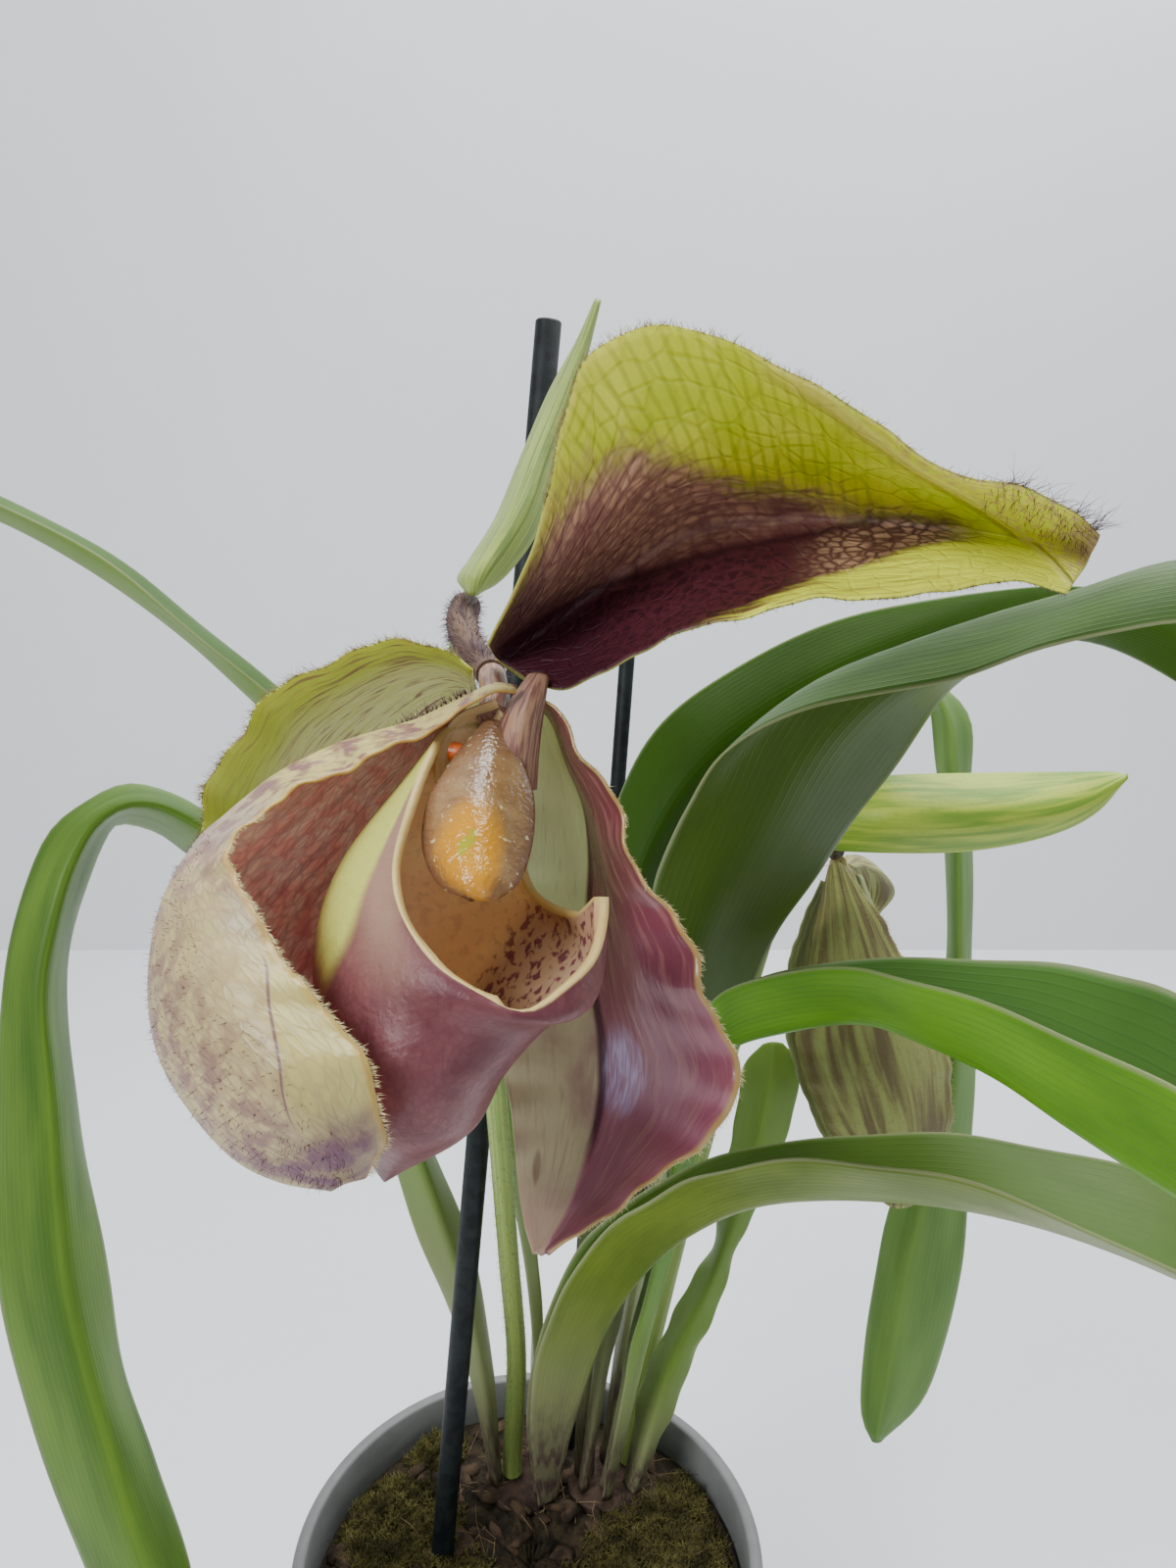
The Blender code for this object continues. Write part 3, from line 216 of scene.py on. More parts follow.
PETAL_LEFT = (
    ((527, 706, 145.6), (504, 706, 143.6), (470, 726, 142.2), (440, 746, 141.4), (400, 762, 139),
     (350, 787, 135), (290, 812, 130), (240, 858, 124), (232, 878, 121), (258, 923, 117),
     (290, 983, 114), (316, 1011, 112), (349, 1050, 111), (374, 1082, 110), (387, 1137, 110),
     (394, 1161, 111), (381, 1185, 113), (374, 1200, 114)),
    ((526, 705, 146.0), (503, 704, 144.0), (467, 722, 143.6), (430, 742, 144.2), (390, 757, 142),
     (335, 782, 138), (270, 812, 134), (216, 868, 129), (200, 900, 124), (215, 960, 116),
     (240, 1020, 111), (275, 1070, 108), (300, 1120, 107), (330, 1165, 109), (356, 1203, 113)),
    ((525, 703, 146.4), (502, 702, 144.5), (465, 718, 145.6), (425, 737, 147), (350, 760, 144),
     (300, 783, 141), (240, 828, 137), (203, 862, 134), (170, 920, 130), (155, 1000, 125),
     (165, 1075, 120), (200, 1135, 117), (245, 1182, 115), (290, 1203, 115), (339, 1211, 115)),
    ((526, 702, 146.8), (502, 701, 145.0), (470, 724, 148), (436, 764, 153), (390, 802, 153),
     (335, 850, 151), (280, 900, 148), (240, 960, 144), (225, 1030, 139), (240, 1095, 133),
     (275, 1150, 127), (310, 1190, 121), (345, 1206, 116)),
    ((527, 701, 147.2), (502, 700, 145.6), (470, 730, 150.5), (459, 794, 158), (435, 860, 160),
     (400, 930, 159), (368, 1000, 155), (345, 1060, 149), (335, 1110, 141), (340, 1150, 132),
     (352, 1185, 123), (356, 1204, 116)),
)
PETAL_RIGHT = (
    ((538, 712, 149), (566, 722, 148), (592, 766, 146), (624, 809, 144), (647, 876, 142),
     (682, 932, 140), (713, 972, 139), (722, 1025, 138), (752, 1082, 138), (757, 1109, 138),
     (731, 1152, 139), (694, 1186, 141), (651, 1217, 143), (600, 1254, 146), (560, 1278, 149)),
    ((535, 713, 151), (563, 726, 150), (585, 780, 150), (606, 820, 149), (625, 890, 148),
     (645, 960, 146), (662, 1030, 145), (680, 1090, 145), (676, 1140, 146), (650, 1180, 147),
     (610, 1225, 149), (556, 1279, 150)),
    ((532, 715, 153), (558, 732, 154), (575, 780, 156), (592, 830, 158), (600, 876, 159),
     (602, 960, 158), (603, 1060, 156), (604, 1146, 154), (600, 1192, 152), (585, 1235, 151),
     (551, 1280, 150)),
    ((528, 717, 153), (550, 736, 156), (556, 780, 158), (556, 850, 161), (552, 930, 163),
     (554, 1010, 161), (558, 1100, 157), (562, 1180, 154), (558, 1240, 152), (547, 1280, 151)),
    ((524, 719, 152), (541, 738, 155), (534, 780, 157), (516, 850, 161), (503, 930, 163),
     (505, 1010, 161), (514, 1085, 157), (521, 1131, 155), (526, 1177, 153), (532, 1235, 152),
     (543, 1279, 151)),
)
STAMINODE = (
    ((493, 738, 145.6), (462, 775, 140), (436, 820, 134), (432, 870, 130), (450, 905, 127),
     (478, 918, 125)),
    ((502, 737, 145.2), (497, 775, 138), (488, 820, 131), (482, 870, 127), (486, 900, 125),
     (492, 919, 125)),
    ((511, 738, 145.6), (532, 775, 141), (545, 820, 136), (541, 870, 132), (526, 905, 128),
     (506, 919, 126)),
)
COLUMN_HOOD = (
    ((538, 690, 150.5), (510, 735, 147.0), (499, 770, 144.0), (488, 806, 142.5)),
    ((549, 690, 150.5), (532, 735, 144.0), (522, 770, 141.0), (518, 808, 139.8)),
    ((560, 692, 150.5), (553, 735, 146.5), (549, 770, 144.0), (547, 806, 142.5)),
)
THROAT_HOOD = (
    ((505, 714, 145.0), (464, 732, 146.0), (446, 768, 146.5), (444, 800, 146.0)),
    ((510, 722, 146.5), (482, 746, 148.5), (468, 772, 149.0), (464, 798, 148.0)),
    ((514, 730, 146.0), (502, 752, 147.0), (492, 776, 147.0), (486, 798, 146.0)),
)
ANTHER = ((463, 768, 144.6), (470, 769, 144.2), (476, 774, 144.6))
BRACT_MAIN = (
    ((477, 604, 192), (467, 592, 193), (480, 570, 196), (505, 530, 199), (530, 470, 202),
     (560, 400, 204), (590, 345, 205), (608, 307, 206)),
    ((482, 607, 188.6), (486, 590, 187), (505, 562, 189), (530, 520, 192), (550, 468, 196),
     (574, 405, 200), (595, 350, 203), (610, 306, 205)),
    ((489, 604, 192), (506, 596, 193), (538, 560, 196), (558, 520, 199), (570, 470, 202),
     (586, 415, 204), (600, 360, 205), (612, 307, 206)),
)

# The slipper: its rim as a closed loop, then rings below it given by right, front, left and back
POUCH_RIM = (
    (621, 915, 127), (612, 970, 122), (581, 1003, 117), (530, 1031, 113), (484, 1010, 113),
    (440, 980, 115), (407, 925, 120), (402, 880, 125), (418, 820, 131), (436, 772, 139),
    (458, 738, 147), (503, 741, 149), (528, 782, 151), (532, 850, 150), (545, 905, 146),
    (590, 930, 137),
)
POUCH_RINGS = (
    ((604, 960, 131), (474, 1062, 111), (345, 847, 139), (485, 905, 152)),
    ((568, 1003, 134), (448, 1062, 112), (320, 935, 137), (455, 955, 152)),
    ((512, 1072, 133), (425, 1110, 112), (318, 1015, 134), (428, 1015, 150)),
    ((487, 1142, 131), (412, 1165, 116), (343, 1130, 132), (410, 1120, 146)),
)
POUCH_TOE = (392, 1207, 129)

# Second flower, which hangs with its back to the front of the pot
SEPAL_BACK_SECOND = (
    ((846, 884, 259), (835, 930, 262), (822, 1000, 264), (812, 1064, 265), (830, 1120, 266),
     (865, 1180, 266), (900, 1225, 265)),
    ((853, 880, 257), (866, 940, 257), (890, 1020, 257), (905, 1100, 258), (912, 1170, 260),
     (914, 1232, 263)),
    ((860, 884, 259), (894, 928, 262), (923, 981, 265), (950, 1030, 267), (966, 1069, 268),
     (968, 1161, 269), (930, 1230, 265)),
)
PETAL_LEFT_SECOND = (
    ((838, 898, 265), (815, 950, 268), (800, 1010, 270), (804, 1064, 272), (822, 1120, 273),
     (842, 1165, 273), (858, 1200, 273)),
    ((843, 900, 267), (832, 955, 272), (830, 1015, 275), (836, 1072, 277), (848, 1130, 277),
     (862, 1202, 275)),
    ((850, 898, 268), (848, 960, 275), (858, 1020, 279), (866, 1080, 281), (872, 1140, 281),
     (868, 1202, 277)),
)
PETAL_RIGHT_SECOND = (
    ((874, 892, 267), (892, 950, 268), (915, 1010, 272), (935, 1070, 275), (940, 1130, 276),
     (928, 1190, 276)),
    ((877, 894, 269), (900, 950, 273), (926, 1010, 279), (946, 1070, 283), (952, 1130, 284),
     (934, 1192, 280)),
    ((880, 898, 272), (902, 955, 279), (924, 1015, 287), (940, 1075, 292), (944, 1135, 292),
     (934, 1194, 284)),
)
DORSAL_SECOND = (
    ((852, 885, 271), (852, 880, 288), (858, 884, 306), (872, 905, 324), (884, 930, 334)),
    ((861, 883, 272), (868, 874, 290), (882, 878, 309), (892, 900, 326), (890, 932, 335)),
    ((871, 885, 273), (886, 886, 290), (906, 896, 308), (912, 915, 324), (896, 934, 334)),
)
POUCH_RIM_SECOND = (
    (905, 960, 290), (896, 958, 284), (884, 939, 281), (871, 924, 281), (862, 946, 289),
    (864, 954, 298), (880, 950, 302), (898, 954, 298),
)
POUCH_RINGS_SECOND = (
    ((912, 1040, 292), (886, 1050, 284), (862, 1040, 292), (888, 1030, 306)),
    ((908, 1110, 292), (888, 1120, 286), (866, 1110, 293), (888, 1100, 303)),
)
POUCH_TOE_SECOND = (888, 1165, 294)
BRACT_SECOND = (
    ((846, 867, 255), (870, 869, 251), (991, 868, 253), (1078, 850, 254), (1120, 828, 254),
     (1148, 796, 254)),
    ((842, 847, 253), (900, 836, 245), (990, 836, 246), (1070, 828, 249), (1120, 812, 252),
     (1150, 793, 254)),
    ((848, 800, 250), (901, 792, 252), (1000, 789, 254), (1080, 788, 255), (1136, 788, 255),
     (1151, 791, 255)),
)

# Routes of stems and stakes
SCAPE_MAIN = ((523, 1500, 334), (527, 1387, 317), (519, 1283, 300), (511, 1180, 283),
              (500, 1050, 266), (488, 920, 253), (478, 800, 240), (472, 700, 224),
              (472, 652, 212), (475, 624, 205), (475, 620, 201))
OVARY_MAIN = ((475, 620, 199), (474, 621, 195), (471, 636, 187), (480, 662, 175), (497, 683, 165),
              (501, 688, 161.7))
SCAPE_SECOND = ((642, 1484, 338), (682, 1300, 328), (722, 1150, 314), (766, 1000, 297),
                (800, 900, 280), (824, 862, 268), (838, 856, 262))
OVARY_SECOND = ((841, 856, 260.5), (848, 862, 257), (854, 871, 258.5))
COLUMN_SECOND = ((855, 881, 260.4), (857, 885, 263), (862, 892, 268), (866, 903, 274), (873, 920, 279),
                 (876, 926, 280))
STAKE_FRONT_FOOT = (-0.0234, 0.004, 0.093)
STAKE_FRONT_TOP = (0.0068, 0.036, 0.4045)
STAKE_BACK_FOOT = (0.0095, 0.0410, 0.093)
STAKE_BACK_TOP = (0.0264, 0.0464, 0.350)
COLUMN_MAIN = ((502, 690, 161), (504, 701, 156), (505, 714, 151), (503, 724, 149), (502, 732, 146.6))
COLUMN_RADIUS = 0.0019
SCAPE_RADIUS = 0.0027
OVARY_RADIUS = 0.0026


class Sum(Enum):
    """Operations on the numbers of a surface."""

    ADD = "ADD"
    SUBTRACT = "SUBTRACT"
    MULTIPLY = "MULTIPLY"
    POWER = "POWER"
    ABSOLUTE = "ABSOLUTE"
    MAXIMUM = "MAXIMUM"
    COSINE = "COSINE"


class Face(Enum):
    """The two faces of a blade, as the sign of the normal."""

    TOP = 1.0
    UNDER = -1.0


class Edge(Enum):
    """The two margins of a blade, as the last column of the grid and the one beside it."""

    FIRST = (0, 1)
    LAST = (-1, -2)


def seen(column: float, row: float, depth: float) -> np.ndarray:
    """World point at a place of the view.

    Args:
        column: Column of the view.
        row: Row of the view.
        depth: Depth along the view, in millimetres.

    Returns:
        The point in metres.
    """
    reach = depth / 1000.0
    across = (column - VIEW_MIDDLE[0]) / VIEW_FOCAL * reach
    up = (VIEW_MIDDLE[1] - row) / VIEW_FOCAL * reach
    forward = reach * math.cos(VIEW_TILT) + up * math.sin(VIEW_TILT)
    rise = up * math.cos(VIEW_TILT) - reach * math.sin(VIEW_TILT)
    return np.array(VIEW_EYE) + np.array((across, forward, rise))


def smooth_line(points: list[np.ndarray], count: int) -> np.ndarray:
    """Evenly spaced points on a smooth curve.

    Args:
        points: Points that the curve passes.
        count: How many points to return.

    Returns:
        An array of count points.
    """
    knots = np.array([tuple(point) for point in points])
    steps = np.linalg.norm(np.diff(knots, axis=0), axis=1) ** 0.5
    times = np.concatenate(([0.0], np.cumsum(steps)))
    slopes = np.gradient(knots, times, axis=0)
    fine_times = np.linspace(0.0, times[-1], max(12 * len(knots), 2 * count))
    spans = np.clip(np.searchsorted(times, fine_times, side="right") - 1, 0, len(knots) - 2)
    widths = times[spans + 1] - times[spans]
    local = ((fine_times - times[spans]) / widths)[:, None]
    widths = widths[:, None]
    fine = (2 * local ** 3 - 3 * local ** 2 + 1) * knots[spans]
    fine = fine + (local ** 3 - 2 * local ** 2 + local) * widths * slopes[spans]
    fine = fine + (3 * local ** 2 - 2 * local ** 3) * knots[spans + 1]
    fine = fine + (local ** 3 - local ** 2) * widths * slopes[spans + 1]
    lengths = np.concatenate(([0.0], np.cumsum(np.linalg.norm(np.diff(fine, axis=0), axis=1))))
    wanted = np.linspace(0.0, lengths[-1], count)
    return np.stack([np.interp(wanted, lengths, fine[:, axis]) for axis in range(3)], axis=1)


def standing(rail: Rail) -> list[np.ndarray]:
    """World points of a route that stands on the growths' bases."""
    points = [seen(*point) for point in rail]
    points[0][2] = CROWN_TOP + SEAT_GAP
    return points


def unit(vectors: np.ndarray) -> np.ndarray:
    """Vectors of a list brought to length one."""
    return vectors / np.linalg.norm(vectors, axis=1, keepdims=True)


def grid_normals(grid: np.ndarray, closed: bool = False) -> np.ndarray:
    """Unit normals of a grid of points.

    Args:
        grid: Points, rows along and columns across.
        closed: Whether the columns go all the way round.

    Returns:
        One normal for each point.
    """
    along = np.gradient(grid, axis=0)
    if closed:
        across = (np.roll(grid, -1, axis=1) - np.roll(grid, 1, axis=1)) / 2
    else:
        across = np.gradient(grid, axis=1)
    normals = np.cross(along, across)
    return normals / np.maximum(np.linalg.norm(normals, axis=2, keepdims=True), 1e-12)


def grid_faces(rows: int, columns: int, closed: bool = False, start: int = 0) -> list[tuple[int, ...]]:
    """Quads between the points of a grid.

    Args:
        rows: How many steps along.
        columns: How many steps across.
        closed: Whether the columns go all the way round.
        start: Number of the first point.

    Returns:
        Corner numbers of each quad, row after row.
    """
    width = columns if closed else columns + 1
    faces = []
    for row in range(rows):
        here, below = start + row * width, start + (row + 1) * width
        for column in range(columns):
            following = (column + 1) % width
            faces.append((here + column, below + column, below + following, here + following))
    return faces


def link_mesh(name: str, vertices: np.ndarray, faces: list[tuple[int, ...]]) -> bpy.types.Object:
    """Object at the origin made of vertices and faces, shaded smooth.

    Args:
        name: Name of the object.
        vertices: Its points.
        faces: Corner numbers of each face.

    Returns:
        The new object.
    """
    mesh = bpy.data.meshes.new(name)
    mesh.from_pydata([tuple(map(float, point)) for point in vertices], [], faces)
    mesh.update()
    mesh.shade_smooth()
    thing = bpy.data.objects.new(name, mesh)
    bpy.context.scene.collection.objects.link(thing)
    return thing


def dress(thing: bpy.types.Object, material: bpy.types.Material,
          nodes: tuple[str, ...] = ()) -> None:
    """Give a piece its material and tie it to the frame.

    Args:
        thing: The piece.
        material: Its finish.
        nodes: Solids that the piece stands for.
    """
    thing.data.materials.clear()
    thing.data.materials.append(material)
    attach(thing, ROOT)
    if nodes:
        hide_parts(*nodes)
    LOG.info("%s: %d faces", thing.name, len(thing.data.polygons))


def tone(red: float, green: float, blue: float) -> Colour:
    """Linear colour from display shares."""
    return tuple(share / 12.92 if share < 0.04045 else ((share + 0.055) / 1.055) ** 2.4
                 for share in (red, green, blue))


class Share:
    """Number that varies over a surface and takes plain arithmetic."""

    def __init__(self, weave: "Weave", socket: bpy.types.NodeSocket) -> None:
        """Hold an output of the weave's node tree."""
        self.weave = weave
        self.socket = socket

    def __add__(self, other: object) -> "Share":
        """Sum with a share or a plain number."""
        return self.weave.math(Sum.ADD, self, other)

    def __sub__(self, other: object) -> "Share":
        """Difference from a share or a plain number."""
        return self.weave.math(Sum.SUBTRACT, self, other)

    def __rsub__(self, other: float) -> "Share":
        """Plain number less this share."""
        return self.weave.math(Sum.SUBTRACT, other, self)

    def __mul__(self, other: object) -> "Share":
        """Product with a share or a plain number."""
        return self.weave.math(Sum.MULTIPLY, self, other)

    def __pow__(self, power: float) -> "Share":
        """Power of this share."""
        return self.weave.math(Sum.POWER, self, power)

    def __neg__(self) -> "Share":
        """Opposite of this share."""
        return self * -1.0

    def __abs__(self) -> "Share":
        """Size of this share without its sign."""
        return self.weave.math(Sum.ABSOLUTE, self)


class Weave:
    """Small builder of a material's node tree."""

    def __init__(self, name: str, roughness: float = 0.5, specular: float = 0.5) -> None:
        """Start a material with one Principled shader."""
        self.material = bpy.data.materials.new(name)
        self.material.use_nodes = True
        self.tree = self.material.node_tree
        self.shader = self.tree.nodes["Principled BSDF"]
        self.shader.inputs["Roughness"].default_value = roughness
        self.shader.inputs["Specular IOR Level"].default_value = specular

    def node(self, kind: str, **values: object) -> bpy.types.Node:
        """Add a node and set its own properties."""
        made = self.tree.nodes.new(kind)
        for key, value in values.items():
            setattr(made, key, value)
        return made

    def feed(self, socket: bpy.types.NodeSocket, value: object) -> None:
        """Link a socket to an output, or set its constant.

        Args:
            socket: Input to fill.
            value: A share, an output, a colour or a plain number.
        """
        if isinstance(value, Share):
            value = value.socket
        if isinstance(value, bpy.types.NodeSocket):
            self.tree.links.new(value, socket)
        elif isinstance(value, tuple) and len(value) == 3 and socket.type == "RGBA":
            socket.default_value = (*value, 1.0)
        else:
            socket.default_value = value

    def math(self, operation: Sum, first: object, second: object = 0.0) -> Share:
        """Arithmetic on one or two values."""
        made = self.node("ShaderNodeMath", operation=operation.value)
        self.feed(made.inputs[0], first)
        self.feed(made.inputs[1], second)
        return Share(self, made.outputs[0])

    def ramp(self, value: object, low: float, high: float, to_low: float = 0.0,
             to_high: float = 1.0) -> Share:
        """Smooth step of a value between two bounds.

        Args:
            value: What is measured.
            low: Where the step begins.
            high: Where it ends.
            to_low: Result at and before the beginning.
            to_high: Result at and past the end.

        Returns:
            The stepped share.
        """
        made = self.node("ShaderNodeMapRange", interpolation_type="SMOOTHSTEP")
        for index, number in enumerate((value, low, high, to_low, to_high)):
            self.feed(made.inputs[index], number)
        return Share(self, made.outputs[0])

    def mix(self, share: object, first: object, second: object) -> bpy.types.NodeSocket:
        """Mix of two colours."""
        made = self.node("ShaderNodeMix", data_type="RGBA")
        for index, value in ((0, share), (6, first), (7, second)):
            self.feed(made.inputs[index], value)
        return made.outputs[2]

    def surface(self) -> tuple[Share, Share]:
        """Shares across and along the piece, from its own UV map."""
        uv_map = self.node("ShaderNodeUVMap", uv_map="surface")
        parts = self.node("ShaderNodeSeparateXYZ")
        self.feed(parts.inputs[0], uv_map.outputs[0])
        return Share(self, parts.outputs[0]), Share(self, parts.outputs[1])

    def spread(self, across: Share, along: Share, width: float, length: float) -> bpy.types.NodeSocket:
        """Place on the piece with each share stretched to a size."""
        joined = self.node("ShaderNodeCombineXYZ")
        self.feed(joined.inputs[0], across * width)
        self.feed(joined.inputs[1], along * length)
        return joined.outputs[0]

    def place(self) -> bpy.types.NodeSocket:
        """Object coordinates."""
        return self.node("ShaderNodeTexCoord").outputs["Object"]

    def noise(self, where: object, scale: float, detail: float = 3.0, twist: float = 0.0) -> Share:
        """Value of a noise between 0 and 1."""
        made = self.node("ShaderNodeTexNoise")
        for key, value in (("Vector", where), ("Scale", scale), ("Detail", detail), ("Distortion", twist)):
            self.feed(made.inputs[key], value)
        return Share(self, made.outputs["Fac"])

    def net(self, where: object, scale: float, width: float) -> Share:
        """Lines of a net of cells: 1 on the lines and 0 inside the cells."""
        made = self.node("ShaderNodeTexVoronoi", feature="DISTANCE_TO_EDGE")
        self.feed(made.inputs["Vector"], where)
        self.feed(made.inputs["Scale"], scale)
        return self.ramp(made.outputs["Distance"], 0.0, width, 1.0, 0.0)

    def lines(self, share: Share, count: float, sharp: float) -> Share:
        """Lines that repeat with a share: 1 on the lines."""
        wave = self.math(Sum.COSINE, share * (count * 2 * math.pi))
        return self.ramp(wave, sharp, 1.0)

    def curve(self, value: Share, points: tuple[tuple[float, float], ...]) -> Share:
        """Value read off a smooth curve through points between 0 and 1.

        Args:
            value: Share to read the curve at.
            points: Places of the curve, each a share and its result.

        Returns:
            The share read off.
        """
        made = self.node("ShaderNodeFloatCurve")
        line = made.mapping.curves[0]
        line.points[0].location = points[0]
        line.points[-1].location = points[-1]
        for spot in points[1:-1]:
            line.points.new(*spot)
        made.mapping.update()
        self.feed(made.inputs["Value"], value)
        return Share(self, made.outputs[0])

    def past(self, value: Share, bound: object, soft: float, stir: object = 0.0) -> Share:
        """1 where a value is past a bound, with a soft and stirred edge.

        Args:
            value: What is measured.
            bound: Where the zone begins.
            soft: Half the width of the edge.
            stir: What is added to break up the edge.

        Returns:
            The share of the zone.
        """
        return self.ramp(value - bound + stir, -soft, soft)

    def stir(self, where: object, scale: float, reach: float) -> Share:
        """Noise around zero that breaks up an edge."""
        return (self.noise(where, scale, 5.0, 0.8) - 0.5) * reach

    def face(self) -> Share:
        """1 on the top face of a blade and 0 on its under face."""
        return Share(self, self.node("ShaderNodeAttribute", attribute_name="top").outputs["Fac"])

    def bump(self, height: object, depth: float, strength: float = 1.0) -> None:
        """Raise the surface by a height."""
        made = self.node("ShaderNodeBump")
        for key, value in (("Height", height), ("Distance", depth), ("Strength", strength)):
            self.feed(made.inputs[key], value)
        self.feed(self.shader.inputs["Normal"], made.outputs[0])

    def done(self, colour: object, roughness: object = None) -> bpy.types.Material:
        """Finish the material with its colour and roughness."""
        self.feed(self.shader.inputs["Base Color"], colour)
        if roughness is not None:
            self.feed(self.shader.inputs["Roughness"], roughness)
        return self.material


def soften(weave: Weave, weight: float, radius: Colour, scale: float) -> None:
    """Let light through living tissue.

    Args:
        weave: Material to change.
        weight: Share of scattered light.
        radius: Reach of red, green and blue.
        scale: Size of the reach in metres.
    """
    weave.shader.inputs["Subsurface Weight"].default_value = weight
    weave.shader.inputs["Subsurface Radius"].default_value = radius
    weave.shader.inputs["Subsurface Scale"].default_value = scale


@dataclass(frozen=True)
class LeafFinish:
    """Waxy strap leaf: fine parallel veins, a groove at the keel, a pale base and a painted highlight along
    the margins.
    """

    name: str
    lit: Colour = (0.150, 0.270, 0.035)
    deep: Colour = (0.060, 0.130, 0.022)
    under: Colour = (0.180, 0.290, 0.050)
    base: Colour = (0.330, 0.330, 0.190)
    stain: Colour = (0.085, 0.045, 0.050)
    stain_reach: float = 0.12
    roughness: float = 0.38

    def make(self) -> bpy.types.Material:
        """Build the finish."""
        weave = Weave(self.name, self.roughness, 0.14)
        across, along = weave.surface()
        flat = weave.spread(across, along, 10.0, 60.0)
        mottled = weave.noise(weave.spread(across, along, 5.0, 12.0), 0.8, 4.0, 0.3)
        colour = weave.mix(weave.ramp(mottled, 0.25, 0.75), self.deep, self.lit)
        colour = weave.mix((1.0 - weave.face()) * 0.75, colour, self.under)
        veins = weave.lines(across, 26.0, 0.55)
        wobble = weave.noise(weave.spread(across, along, 40.0, 6.0), 2.0, 4.0)
        vein_share = veins * weave.ramp(wobble, 0.35, 0.7)
        colour = weave.mix(vein_share * 0.30, colour, self.under)
        offset = abs(across - 0.5)
        keel = weave.ramp(offset, 0.0, 0.035, 1.0, 0.0)
        colour = weave.mix(keel * 0.45, colour, self.under)
        # Pale colour along both margins: a painted highlight on the leaf edges
        edge = weave.ramp(offset, 0.475, 0.5)
        colour = weave.mix(edge * 0.6, colour, self.base)
        foot = weave.ramp(along, 0.02, 0.34, 1.0, 0.0)
        colour = weave.mix(foot * 0.75, colour, self.base)
        blot = weave.noise(weave.spread(across, along, 10.0, 40.0), 1.3, 5.0, 0.3)
        blots = weave.ramp(blot, 0.34, 0.72)
        low = weave.ramp(along, self.stain_reach * 0.25, self.stain_reach, 1.0, 0.0)
        colour = weave.mix(low * weave.ramp(blots, 0.0, 1.0, 0.45, 0.95), colour, self.stain)
        fleck = weave.noise(flat, 14.0, 2.0)
        height = veins * 0.5 + fleck * 0.35
        weave.bump(height, 0.00012, 0.6)
        soften(weave, 0.12, (0.4, 1.0, 0.15), 0.002)
        gloss = weave.ramp(mottled, 0.2, 0.8, self.roughness + 0.08, self.roughness - 0.05)
        return weave.done(colour, gloss)


